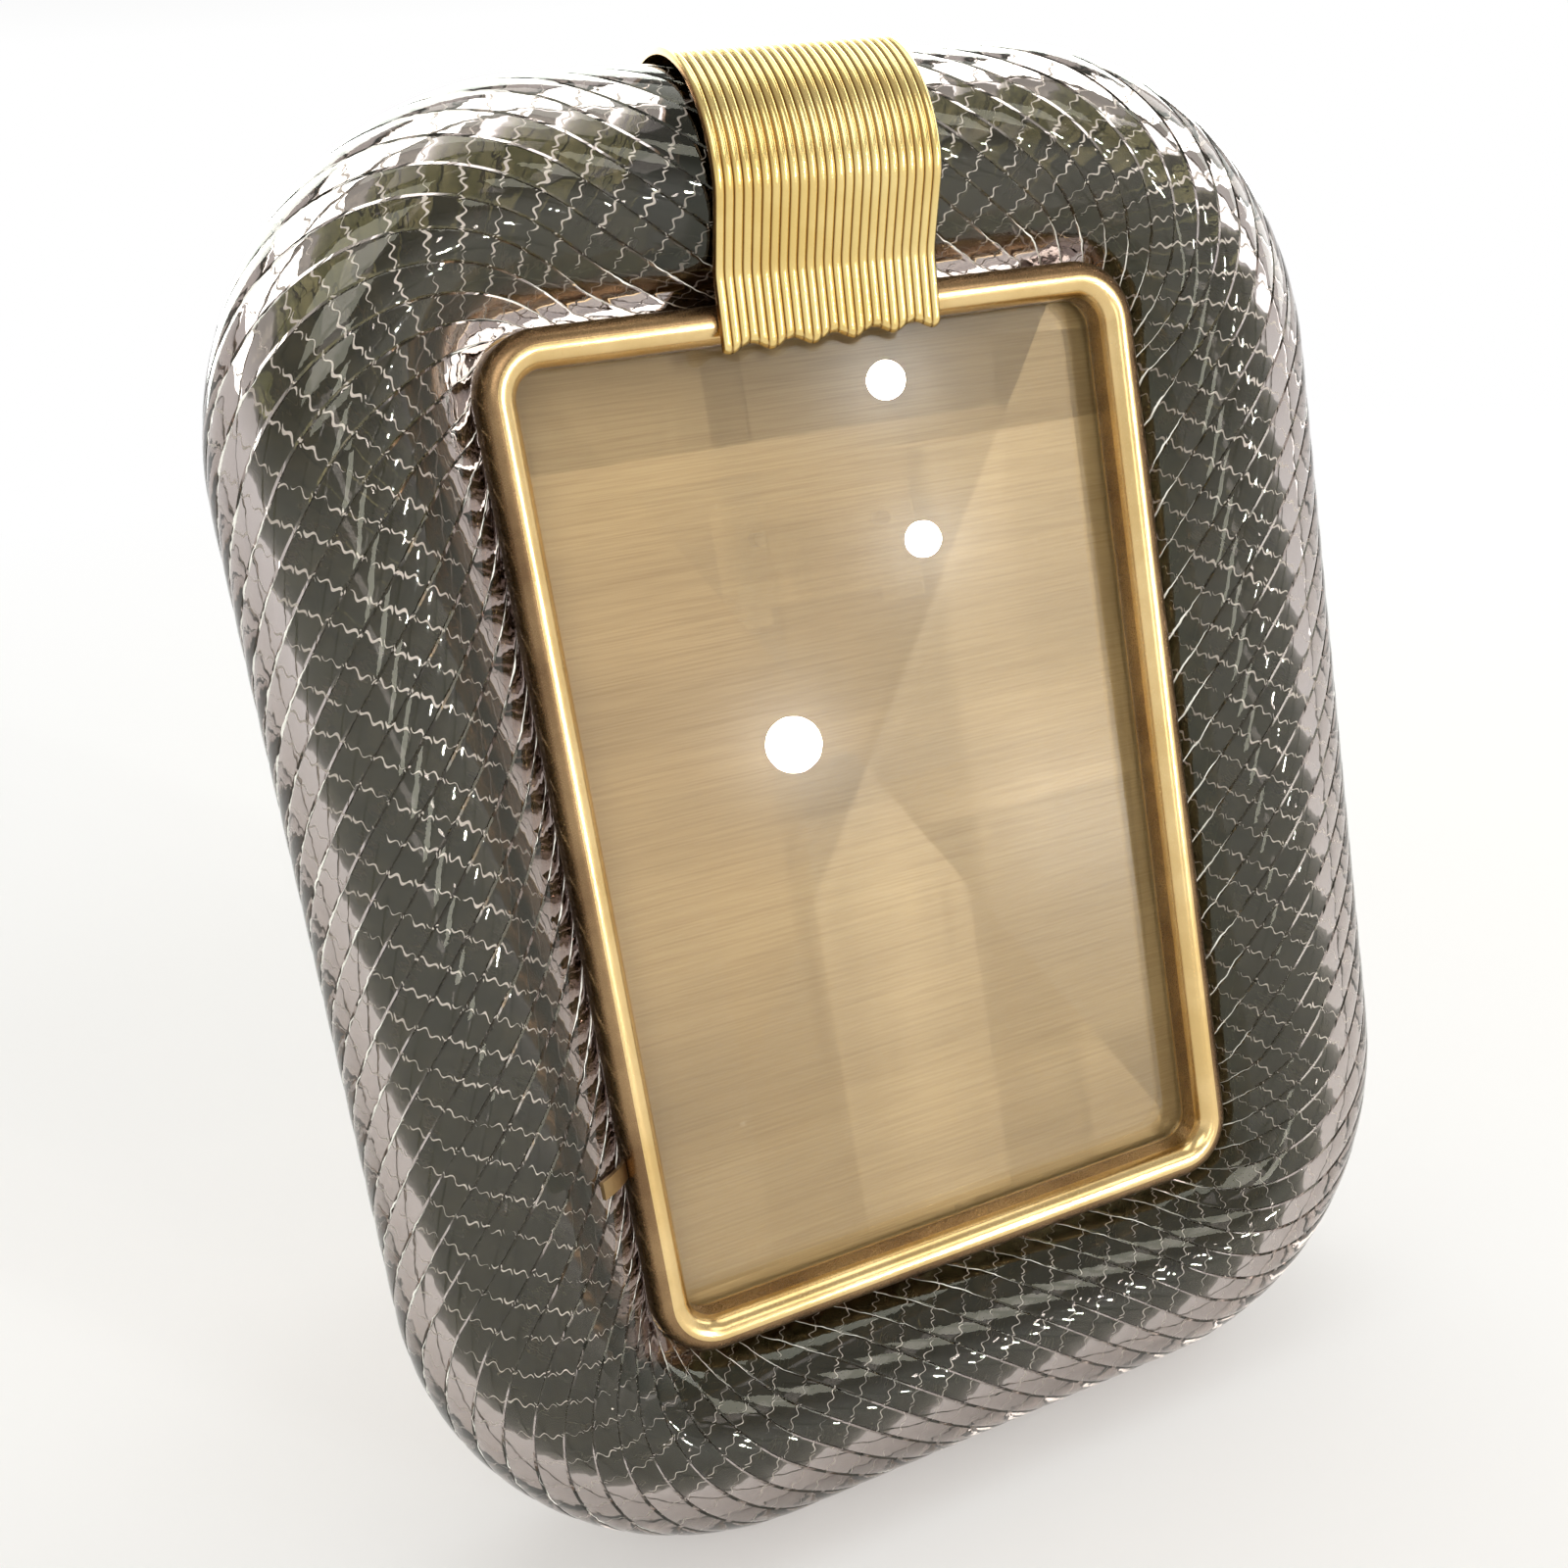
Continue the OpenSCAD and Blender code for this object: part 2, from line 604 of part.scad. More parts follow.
// Hinge leaf on the strut, with the middle barrel piece
module hinge_strut_leaf() {
    neck = barrel_r + barrel_gap + leaf_t / 2;
    color(brass) strut_open_pose() difference() {
        union() {
            translate([-middle_half_w + barrel_gap / 2, barrel_r - leaf_t, -leaf_length / 2])
                cube([2 * middle_half_w - barrel_gap, leaf_t, leaf_length / 2]);
            translate([-strut_leaf_half_w, barrel_r - leaf_t, -leaf_length])
                cube([2 * strut_leaf_half_w, leaf_t, leaf_length - neck]);
            translate([-middle_half_w + barrel_gap / 2, 0, 0]) rotate([0, 90, 0])
                cylinder(r = barrel_r, h = 2 * middle_half_w - barrel_gap);
        }
        translate([-hinge_w, 0, 0]) rotate([0, 90, 0]) cylinder(r = pin_r + pin_play, h = 2 * hinge_w);
        at_strut_screws() screw_hole(wood_shank_r, leaf_t + overrun);
    }
}

module strut_leaf_screws() {
    color(dark_brass) strut_open_pose() at_strut_screws()
        screw(wood_shank_r, strut_screw_depth + leaf_t, wood_head_r, wood_head_h);
}

// Wooden leg: its foot is cut flat on the table, and its heel is bevelled to stop on the board's leaf
module strut() {
    reach = 2 * strut_run;
    spread = (strut_foot_w - strut_top_w) / 2 / strut_run;
    color(wood) difference() {
        strut_open_pose() difference() {
            translate([0, barrel_r, 0]) plate(strut_t) polygon([
                [-strut_top_w / 2, heel_length], [strut_top_w / 2, heel_length], [strut_top_w / 2, 0],
                [strut_top_w / 2 + spread * reach, -reach], [-strut_top_w / 2 - spread * reach, -reach],
                [-strut_top_w / 2, 0]]);
            translate([-strut_top_w, 0, 0]) rotate([0, 90, 0])
                cylinder(r = barrel_r + barrel_relief, h = 2 * strut_top_w);
            at_strut_screws() screw_hole(wood_shank_r, strut_screw_depth + leaf_t + screw_end_play);
        }
        translate([-strut_foot_w, -reach, -reach]) cube([2 * strut_foot_w, 2 * reach, reach]);
        standing() translate([-strut_foot_w, board_back + leaf_t + heel_gap - strut_t, hinge_z - barrel_d])
            cube([2 * strut_foot_w, strut_t, heel_length * 2 + barrel_d]);
    }
}

glass_ring();
reeded_clip();
bezel();
ring_tabs();
glass_pane();
back_board();
rear_frame();
rear_frame_screws();
clip_screws();
turn_button(-1, -1);  // turn_button_left_low
turn_button(-1, 1);  // turn_button_left_high
turn_button(1, -1);  // turn_button_right_low
turn_button(1, 1);  // turn_button_right_high
turn_button_screws();
hinge_board_leaf();
board_leaf_screws();
hinge_pin();
hinge_strut_leaf();
strut_leaf_screws();
strut();
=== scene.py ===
import math
import bpy
from mathutils import Matrix, Vector


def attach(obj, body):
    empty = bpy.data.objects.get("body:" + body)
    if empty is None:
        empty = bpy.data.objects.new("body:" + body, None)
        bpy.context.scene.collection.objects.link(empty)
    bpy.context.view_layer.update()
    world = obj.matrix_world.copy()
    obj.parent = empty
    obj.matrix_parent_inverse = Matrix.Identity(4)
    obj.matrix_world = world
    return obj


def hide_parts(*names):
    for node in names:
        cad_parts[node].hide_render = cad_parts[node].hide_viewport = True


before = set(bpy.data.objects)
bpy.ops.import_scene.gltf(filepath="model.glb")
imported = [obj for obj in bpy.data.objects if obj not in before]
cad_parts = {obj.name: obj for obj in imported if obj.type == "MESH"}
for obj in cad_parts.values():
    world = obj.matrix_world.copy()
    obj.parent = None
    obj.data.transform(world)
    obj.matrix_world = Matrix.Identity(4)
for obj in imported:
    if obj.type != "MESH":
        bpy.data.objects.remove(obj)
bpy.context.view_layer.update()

mm = 0.001

# The panel's own axes: x across, y to the back and z up, from the middle of the ring, which leans back.
panel = {
    "lean": math.radians(12),
    "middleHeight": 0.111989,
    "middleBack": 0.020936,
}
panelToWorld = (Matrix.Translation((0, -panel["middleBack"], panel["middleHeight"]))
                @ Matrix.Rotation(-panel["lean"], 4, "X"))


def clearSelection():
    if bpy.context.object and bpy.context.object.mode != "OBJECT":
        bpy.ops.object.mode_set(mode="OBJECT")
    bpy.ops.object.select_all(action="DESELECT")
    bpy.context.tool_settings.mesh_select_mode = (True, False, False)


def pick(*pieces):
    # the first one becomes the active one
    clearSelection()
    for piece in pieces:
        piece.select_set(True)
    bpy.context.view_layer.objects.active = pieces[0]


def joinPieces(pieces):
    pick(*pieces)
    if len(pieces) > 1:
        bpy.ops.object.join()
    return pieces[0]


def nameActive(name):
    piece = bpy.context.object
    piece.name = name
    piece.data.name = name
    return piece


def addCircle(name, corners):
    clearSelection()
    bpy.ops.mesh.primitive_circle_add(vertices=corners, radius=1)
    return nameActive(name)


def addCylinder(name, sides, radius, depth, place, turn=(0, 0, 0), ends="NGON"):
    clearSelection()
    bpy.ops.mesh.primitive_cylinder_add(vertices=sides, radius=radius, depth=depth, end_fill_type=ends,
                                        location=place, rotation=turn)
    piece = nameActive(name)
    bpy.ops.object.transform_apply(location=True, rotation=True, scale=True)
    return piece


def addModifier(piece, kind, **values):
    mod = piece.modifiers.new(kind.title(), kind)
    for key, value in values.items():
        setattr(mod, key, value)
    pick(piece)
    bpy.ops.object.modifier_apply(modifier=mod.name)


def bevelEdges(piece, width, segments, angle=40):
    # only edges sharper than the angle
    addModifier(piece, "BEVEL", width=width * mm, segments=segments, limit_method="ANGLE",
                angle_limit=math.radians(angle))


def editAll(piece, *steps):
    pick(piece)
    bpy.ops.object.mode_set(mode="EDIT")
    bpy.ops.mesh.select_all(action="SELECT")
    for step in steps:
        step()
    bpy.ops.object.mode_set(mode="OBJECT")


def weldAndTurnOut(piece, distance=0.000002):
    editAll(piece, lambda: bpy.ops.mesh.remove_doubles(threshold=distance),
            lambda: bpy.ops.mesh.normals_make_consistent(inside=False))


def settle(piece, node, smoothAngle, body="panel", toWorld=panelToWorld):
    # from the panel's or the strut's own axes to its place at rest
    pick(piece)
    bpy.ops.object.transform_apply(location=True, rotation=True, scale=True)
    piece.data.transform(toWorld)
    bpy.ops.object.shade_smooth_by_angle(angle=math.radians(smoothAngle))
    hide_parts(node)
    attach(piece, body)
    return piece


# Materials

def newMaterial(name):
    mat = bpy.data.materials.new(name)
    mat.use_nodes = True
    tree = mat.node_tree
    return mat, tree, tree.nodes["Principled BSDF"], tree.nodes["Material Output"]


def setSockets(node, **values):
    for key, value in values.items():
        node.inputs[key.replace("_", " ")].default_value = value


def addNode(tree, kind, **values):
    node = tree.nodes.new("ShaderNode" + kind)
    setSockets(node, **values)
    return node


def mapped(tree, vector, **values):
    mapping = addNode(tree, "Mapping", **values)
    tree.links.new(vector, mapping.inputs["Vector"])
    return mapping.outputs["Vector"]


def objectCoords(tree, turn=(0, 0, 0)):
    return mapped(tree, addNode(tree, "TexCoord").outputs["Object"], Rotation=turn)


def splitAxes(tree, vector):
    split = addNode(tree, "SeparateXYZ")
    tree.links.new(vector, split.inputs["Vector"])
    return split.outputs["X"], split.outputs["Y"], split.outputs["Z"]


def vectorLength(tree, vector):
    node = addNode(tree, "VectorMath")
    node.operation = "LENGTH"
    tree.links.new(vector, node.inputs[0])
    return node.outputs["Value"]


def noiseNode(tree, vector, scale, detail=2, rough=0.5):
    node = addNode(tree, "TexNoise", Scale=scale, Detail=detail, Roughness=rough)
    tree.links.new(vector, node.inputs["Vector"])
    return node.outputs["Fac"]


def rampNode(tree, source, stops):
    ramp = addNode(tree, "ValToRGB")
    elements = ramp.color_ramp.elements
    while len(elements) < len(stops):
        elements.new(0.5)
    for element, (place, colour) in zip(elements, stops):
        element.position = place
        element.color = (*colour, 1)
    tree.links.new(source, ramp.inputs["Fac"])
    return ramp.outputs["Color"]


def rangeNode(tree, source, low, high, fromLow=0.0, fromHigh=1.0):
    node = addNode(tree, "MapRange", From_Min=fromLow, From_Max=fromHigh, To_Min=low, To_Max=high)
    tree.links.new(source, node.inputs["Value"])
    return node.outputs["Result"]


def mathNode(tree, operation, a, b=0.0):
    node = addNode(tree, "Math")
    node.operation = operation
    for socket, value in zip(node.inputs, (a, b)):
        if isinstance(value, (int, float)):
            socket.default_value = value
        else:
            tree.links.new(value, socket)
    return node.outputs["Value"]


def mixColour(tree, factor, a, b, blend="MIX"):
    node = addNode(tree, "Mix")
    node.data_type = "RGBA"
    node.blend_type = blend
    for name, value in (("Factor", factor), ("A", a), ("B", b)):
        socket = next(s for s in node.inputs if s.name == name and s.enabled)
        if isinstance(value, (int, float)):
            socket.default_value = value
        elif isinstance(value, tuple):
            socket.default_value = (*value, 1)
        else:
            tree.links.new(value, socket)
    return next(s for s in node.outputs if s.enabled)


def mixShaders(tree, factor, first, second, out):
    mix = addNode(tree, "MixShader")
    tree.links.new(factor, mix.inputs["Fac"])
    tree.links.new(first, mix.inputs[1])
    tree.links.new(second, mix.inputs[2])
    tree.links.new(mix.outputs["Shader"], out.inputs["Surface"])


def bumpNode(tree, height, strength, distance, shader):
    node = addNode(tree, "Bump", Strength=strength, Distance=distance)
    tree.links.new(height, node.inputs["Height"])
    tree.links.new(node.outputs["Normal"], shader.inputs["Normal"])
    return node.outputs["Normal"]


def letLightThrough(tree, shader):
    # shadow rays pass, and lose only what the glass absorbs
    seen = addNode(tree, "LightPath")
    tree.links.new(mathNode(tree, "SUBTRACT", 1.0, seen.outputs["Is Shadow Ray"]), shader.inputs["Alpha"])


# painted highlights: thin pale lines drawn in the glass that stand in for glints; widths are shares of the
# way from line to line, thinner below lowTo metres
paintedGlints = {
    "colour": (0.88, 0.88, 0.82),
    "grooveWidth": 0.04,
    "grooveRoughness": 0.3,
    "grooveWobble": (300.0, 0.12),
    "grooveFlank": (0.62, 0.8),
    "patchScale": 130.0,
    "patchRange": (0.3, 1.0, 0.35, 0.6),
    "boreWidth": 0.038,
    "boreRoughness": 0.35,
    "boreWobble": (230.0, 0.2),
    "boreTilt": 0.15,
    "boreWave": 0.08,
    "wavesPerRib": 2,
    "breakScale": 420.0,
    "breakRange": (0.0, 1.5, 0.32, 0.68),
    "lowShare": 0.4,
    "lowFrom": 0.03,
    "lowTo": 0.12,
}


def glintCoords(tree):
    place = addNode(tree, "UVMap")
    place.uv_map = "lines"
    return splitAxes(tree, place.outputs["UV"])[:2]


def wobble(tree, vector, scale, reach):
    return rangeNode(tree, noiseNode(tree, vector, scale), -reach, reach)


def thinnerLow(tree, vector, width):
    # the painted highlights get thinner towards the bottom
    height = splitAxes(tree, vector)[2]
    return rangeNode(tree, height, paintedGlints["lowShare"] * width, width, paintedGlints["lowFrom"],
                     paintedGlints["lowTo"])


def drawPaintedGlints(tree, across, width, roughness, shader, out):
    # a painted highlight: a pale line half way between each two whole numbers of across
    between = mathNode(tree, "SUBTRACT", mathNode(tree, "FRACT", across), 0.5)
    onGlint = mathNode(tree, "LESS_THAN", mathNode(tree, "ABSOLUTE", between), width)
    pale = addNode(tree, "BsdfPrincipled", Base_Color=(*paintedGlints["colour"], 1), Roughness=roughness)
    mixShaders(tree, onGlint, shader.outputs["BSDF"], pale.outputs["BSDF"], out)


smokyGlass = {
    "ior": 1.52,
    "tint": (0.98, 0.985, 0.98),
    "specularTint": (0.95, 0.97, 0.78),
    "coatWeight": 0.2,
    "coatRoughness": 0.05,
    "absorbColour": (0.30, 0.16, 0.10),
    "absorbDensity": 56.0,
    "waveScale": 260.0,
    "waveHeight": 0.00006,
}


def makeSmokyGlass():
    mat, tree, shader, out = newMaterial("smokyGlass")
    setSockets(shader, Base_Color=(*smokyGlass["tint"], 1), Roughness=0.0, IOR=smokyGlass["ior"],
               Transmission_Weight=1.0, Coat_Weight=smokyGlass["coatWeight"],
               Coat_Roughness=smokyGlass["coatRoughness"], Specular_Tint=(*smokyGlass["specularTint"], 1))
    vector = objectCoords(tree)
    wave = noiseNode(tree, vector, smokyGlass["waveScale"])
    tree.links.new(bumpNode(tree, wave, 1.0, smokyGlass["waveHeight"], shader), shader.inputs["Coat Normal"])
    letLightThrough(tree, shader)
    # painted highlight: on the tube's flanks a pale line is drawn in the grooves between the ribs, standing
    # in for glints
    around, flankShare = glintCoords(tree)
    across = mathNode(tree, "ADD", around, wobble(tree, vector, *paintedGlints["grooveWobble"]))
    flank = rangeNode(tree, flankShare, 0.0, 1.0, *paintedGlints["grooveFlank"])
    patches = rangeNode(tree, noiseNode(tree, vector, paintedGlints["patchScale"]), *paintedGlints["patchRange"])
    width = mathNode(tree, "MULTIPLY", mathNode(tree, "MULTIPLY", flank, patches),
                     thinnerLow(tree, vector, paintedGlints["grooveWidth"]))
    drawPaintedGlints(tree, across, width, paintedGlints["grooveRoughness"], shader, out)
    absorb = addNode(tree, "VolumeAbsorption", Color=(*smokyGlass["absorbColour"], 1),
                     Density=smokyGlass["absorbDensity"])
    tree.links.new(absorb.outputs["Volume"], out.inputs["Volume"])
    return mat


smokyCore = {
    "dark": (0.036, 0.04, 0.014),
    "light": (0.14, 0.14, 0.075),
    "smokeScale": 240.0,
    "smokeDetail": (3, 0.6),
    "smokeStops": (0.42, 0.72),
}


def makeSmokyCore():
    # the wall of the tube's bore: dark glass with thin pale lines painted on as highlights, which cross the
    # ribs and step between them
    mat, tree, shader, out = newMaterial("smokyCore")
    setSockets(shader, Roughness=0.0, IOR=smokyGlass["ior"], Transmission_Weight=1.0)
    letLightThrough(tree, shader)
    vector = objectCoords(tree)
    smoke = rampNode(tree, noiseNode(tree, vector, smokyCore["smokeScale"], *smokyCore["smokeDetail"]),
                     tuple(zip(smokyCore["smokeStops"], (smokyCore["dark"], smokyCore["light"]))))
    tree.links.new(smoke, shader.inputs["Base Color"])
    around, ribCount = glintCoords(tree)
    rib = mathNode(tree, "FRACT", ribCount)
    tilt = mathNode(tree, "MULTIPLY", mathNode(tree, "SUBTRACT", rib, 0.5), paintedGlints["boreTilt"])
    turn = mathNode(tree, "MULTIPLY", rib, 2 * math.pi * paintedGlints["wavesPerRib"])
    wave = mathNode(tree, "MULTIPLY", mathNode(tree, "SINE", turn), paintedGlints["boreWave"])
    across = mathNode(tree, "ADD", around, wobble(tree, vector, *paintedGlints["boreWobble"]))
    across = mathNode(tree, "ADD", across, mathNode(tree, "ADD", tilt, wave))
    broken = rangeNode(tree, noiseNode(tree, vector, paintedGlints["breakScale"]), *paintedGlints["breakRange"])
    width = mathNode(tree, "MULTIPLY", broken, thinnerLow(tree, vector, paintedGlints["boreWidth"]))
    drawPaintedGlints(tree, across, width, paintedGlints["boreRoughness"], shader, out)
    return mat


paneFinish = {"tint": (0.99, 1.0, 0.99), "ior": 1.5, "coatWeight": 0.12, "coatRoughness": 0.16}


def makePaneGlass():
    mat, tree, shader, out = newMaterial("paneGlass")
    setSockets(shader, Base_Color=(*paneFinish["tint"], 1), Roughness=0.0, IOR=paneFinish["ior"],
               Transmission_Weight=1.0, Coat_Weight=paneFinish["coatWeight"],
               Coat_Roughness=paneFinish["coatRoughness"])
    letLightThrough(tree, shader)
    return mat


# clean colour, tarnished colour, and the least and most roughness
brassKinds = {
    "brass": ((0.79, 0.58, 0.28), (0.67, 0.47, 0.20), 0.16, 0.28),
    # the next two kinds are brass darkened as painted shade: the wall down to the pane, and the bead's outer
    # half, which also carries a painted dark reflection
    "bezelWallShade": ((0.46, 0.32, 0.16), (0.30, 0.19, 0.09), 0.2, 0.34),
    "bezelFlankShade": ((0.34, 0.22, 0.11), (0.20, 0.12, 0.06), 0.22, 0.36),
    "clipBrass": ((0.88, 0.69, 0.30), (0.78, 0.57, 0.21), 0.15, 0.24),
    "rearBrass": ((0.78, 0.58, 0.29), (0.58, 0.41, 0.19), 0.26, 0.42),
    "agedBrass": ((0.50, 0.35, 0.17), (0.26, 0.17, 0.08), 0.3, 0.5),
}
brassGrain = {
    "cloudScale": 60.0,
    "cloudDetail": (5, 0.6),
    "cloudStops": (0.35, 0.6),
    "grainScale": 3800.0,
    "grainDetail": (3, 0.6),
    "grainRange": (0.3, 0.7),
    "bump": 0.5,
    "bumpHeight": 0.00001,
    # the painted shade in the reeds' valleys fades out between these heights of the reeds
    "valleyShadeRange": (0.05, 0.5),
}


def makeBrass(name, reeded=None):
    clean, tarnished, roughLow, roughHigh = brassKinds[name]
    mat, tree, shader, out = newMaterial(name)
    setSockets(shader, Metallic=1.0)
    vector = objectCoords(tree)
    cloud = noiseNode(tree, vector, brassGrain["cloudScale"], *brassGrain["cloudDetail"])
    grain = noiseNode(tree, vector, brassGrain["grainScale"], *brassGrain["grainDetail"])
    colour = rampNode(tree, cloud, tuple(zip(brassGrain["cloudStops"], (tarnished, clean))))
    if reeded:
        # painted shade: the valleys between the reeds are darkened
        count = reeded["reeds"]
        perMetre = math.pi * count / (reeded["width"] * mm)
        turns = mathNode(tree, "MULTIPLY", splitAxes(tree, vector)[0], perMetre)
        crest = mathNode(tree, "SINE", mathNode(tree, "ADD", turns, math.pi * count / 2))
        bright = rangeNode(tree, mathNode(tree, "ABSOLUTE", crest), 0.0, 1.0, *brassGrain["valleyShadeRange"])
        colour = mixColour(tree, bright, reeded["valleyShadeColour"], colour)
    tree.links.new(colour, shader.inputs["Base Color"])
    tree.links.new(rangeNode(tree, grain, roughLow, roughHigh, *brassGrain["grainRange"]),
                   shader.inputs["Roughness"])
    bumpNode(tree, grain, brassGrain["bump"], brassGrain["bumpHeight"], shader)
    return mat


# dark, middle and light bands, and the turn in degrees that lays the grain along the piece
woodKinds = {
    "boardWood": ((0.35, 0.235, 0.095), (0.435, 0.30, 0.13), (0.49, 0.345, 0.155), (0, 0, 0)),
    "strutWood": ((0.25, 0.14, 0.06), (0.36, 0.21, 0.095), (0.42, 0.26, 0.12), (-22, 90, 0)),
}
woodGrain = {
    "fibreStretch": 0.016,
    "fibreScale": 3600.0,
    "fibreDetail": (3, 0.6),
    "fibreStops": (0.3, 0.6),
    "fibreShade": (0.80, 0.76, 0.69),
    "bandStretch": 0.2,
    "bandTurn": 14,
    "bandScale": 34.0,
    "bandDetail": (2, 0.45),
    "bandStops": (0.32, 0.5, 0.66),
    "speckScale": 70.0,
    "speckSize": 0.04,
    "speckFrom": 0.75,
    "speckColour": (0.62, 0.50, 0.34),
    "roughness": (0.6, 0.45),
    "bump": 0.2,
    "bumpHeight": 0.00006,
}


def makeWood(name):
    *bands, turn = woodKinds[name]
    mat, tree, shader, out = newMaterial(name)
    vector = objectCoords(tree, [math.radians(v) for v in turn])
    fibre = noiseNode(tree, mapped(tree, vector, Scale=(woodGrain["fibreStretch"], 1, 1)),
                      woodGrain["fibreScale"], *woodGrain["fibreDetail"])
    wide = mapped(tree, vector, Scale=(woodGrain["bandStretch"], 1, 1),
                  Rotation=(0, math.radians(woodGrain["bandTurn"]), 0))
    band = noiseNode(tree, wide, woodGrain["bandScale"], *woodGrain["bandDetail"])
    bandColour = rampNode(tree, band, tuple(zip(woodGrain["bandStops"], bands)))
    shades = (woodGrain["fibreShade"], (1, 1, 1))
    fibreColour = rampNode(tree, fibre, tuple(zip(woodGrain["fibreStops"], shades)))
    colour = mixColour(tree, 1.0, bandColour, fibreColour, "MULTIPLY")
    # a few small pale specks
    cells = addNode(tree, "TexVoronoi", Scale=woodGrain["speckScale"])
    tree.links.new(vector, cells.inputs["Vector"])
    chance = addNode(tree, "SeparateColor")
    tree.links.new(cells.outputs["Color"], chance.inputs["Color"])
    near = mathNode(tree, "LESS_THAN", cells.outputs["Distance"], woodGrain["speckSize"])
    speck = mathNode(tree, "MULTIPLY", near,
                     mathNode(tree, "GREATER_THAN", chance.outputs["Red"], woodGrain["speckFrom"]))
    colour = mixColour(tree, speck, colour, woodGrain["speckColour"])
    tree.links.new(colour, shader.inputs["Base Color"])
    tree.links.new(rangeNode(tree, fibre, *woodGrain["roughness"]), shader.inputs["Roughness"])
    bumpNode(tree, fibre, woodGrain["bump"], woodGrain["bumpHeight"], shader)
    return mat


materials = {
    "smokyGlass": makeSmokyGlass(),
    "smokyCore": makeSmokyCore(),
    "paneGlass": makePaneGlass(),
    "brass": makeBrass("brass"),
    "bezelWallShade": makeBrass("bezelWallShade"),
    "bezelFlankShade": makeBrass("bezelFlankShade"),
    "rearBrass": makeBrass("rearBrass"),
    "agedBrass": makeBrass("agedBrass"),
    "boardWood": makeWood("boardWood"),
    "strutWood": makeWood("strutWood"),
}
print("materials ready")

# The small tab on the ring's shoulder shows as it comes, in aged brass.
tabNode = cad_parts["ring_tabs"]
tabNode.data.materials.clear()
tabNode.data.materials.append(materials["agedBrass"])


# The twisted glass ring: a ribbed circle is screwed along its axis into a straight twisted tube, which is
# then bent round the frame and pressed on the bezel. Its bore is a second, smooth tube turned inside out.

ring = {
    "radius": 17.5,
    "wall": 6.5,
    "ribs": 20,
    "ribRows": ((0, 0.36), (0.06, 0.17), (0.16, 0.12), (0.3, 0.08), (0.5, 0.06), (0.7, 0.08), (0.84, 0.12),
                (0.94, 0.17)),
    "ribPitch": 7.1,
    "steps": 500,
    "smoothAngle": 14,
    "boreSides": 40,
    "boreSteps": 250,
    "boreLines": 9,
    "boreLinePitch": 5.8,
    "jointGap": 1.2,
    "bend": (36.8, 59.9),
    "outerCorner": 54.2,
    "innerReach": (17.5, 19.2),
    "innerCorner": 10.0,
    "sidePress": 2.2,
    "seatShare": 0.4,
}


def innerDistance(turn):
    # from the middle of a bend to the ring's inner outline
    c, s = abs(math.cos(turn)), abs(math.sin(turn))
    corner = ring["innerCorner"]
    reachX, reachZ = ring["innerReach"]
    bendX, bendZ = reachX - corner, reachZ - corner
    if s * reachX < bendZ * c:
        return reachX / c
    if c * reachZ < bendX * s:
        return reachZ / s
    along = bendX * c + bendZ * s
    return along + math.sqrt(along ** 2 - bendX ** 2 - bendZ ** 2 + corner ** 2)


def ringStation(leg, share):
    # legs run from the middle of the top, to the left and down; odd ones are corners
    bendX, bendZ = ring["bend"]
    gap = ring["jointGap"] / 2
    if leg % 2:
        turn = math.radians(45 * (leg + 1) + 90 * share)
        middle = Vector((-bendX if leg < 4 else bendX, bendZ if leg in (1, 7) else -bendZ))
    else:
        turn = math.radians(90 + 45 * leg)
        middle = Vector({0: (-gap - (bendX - gap) * share, bendZ), 2: (-bendX, bendZ * (1 - 2 * share)),
                         4: (-bendX * (1 - 2 * share), -bendZ), 6: (bendX, -bendZ * (1 - 2 * share)),
                         8: (bendX - (bendX - gap) * share, bendZ)}[leg])
    out = Vector((math.cos(turn), math.sin(turn)))
    return (middle + out * innerDistance(turn), middle + out * ring["outerCorner"],
            ring["sidePress"] * abs(math.cos(turn)))


def legLengths(samples=40):
    lengths = []
    for leg in range(9):
        stations = [ringStation(leg, i / samples) for i in range(samples + 1)]
        mids = [(inner + outer) / 2 for inner, outer, press in stations]
        lengths.append(sum((b - a).length for a, b in zip(mids, mids[1:])))
    return lengths


def markLines(piece, count, pitch, outer):
    # u counts the painted highlight lines round the tube; v says how far on the flanks a place lies, or
    # counts the bore's ribs
    layer = piece.data.uv_layers.new(name="lines")
    for face in piece.data.polygons:
        middle = math.atan2(face.center.y, face.center.x)
        for corner in face.loop_indices:
            x, y, along = piece.data.vertices[piece.data.loops[corner].vertex_index].co
            angle = math.atan2(y, x)
            angle += 2 * math.pi * round((middle - angle) / (2 * math.pi))
            around = count * angle / (2 * math.pi) + along / pitch + outer / 2
            ribs = ring["ribs"] * angle / (2 * math.pi) - along / ring["ribPitch"]
            layer.data[corner].uv = (around, abs(math.cos(angle)) if outer else ribs)


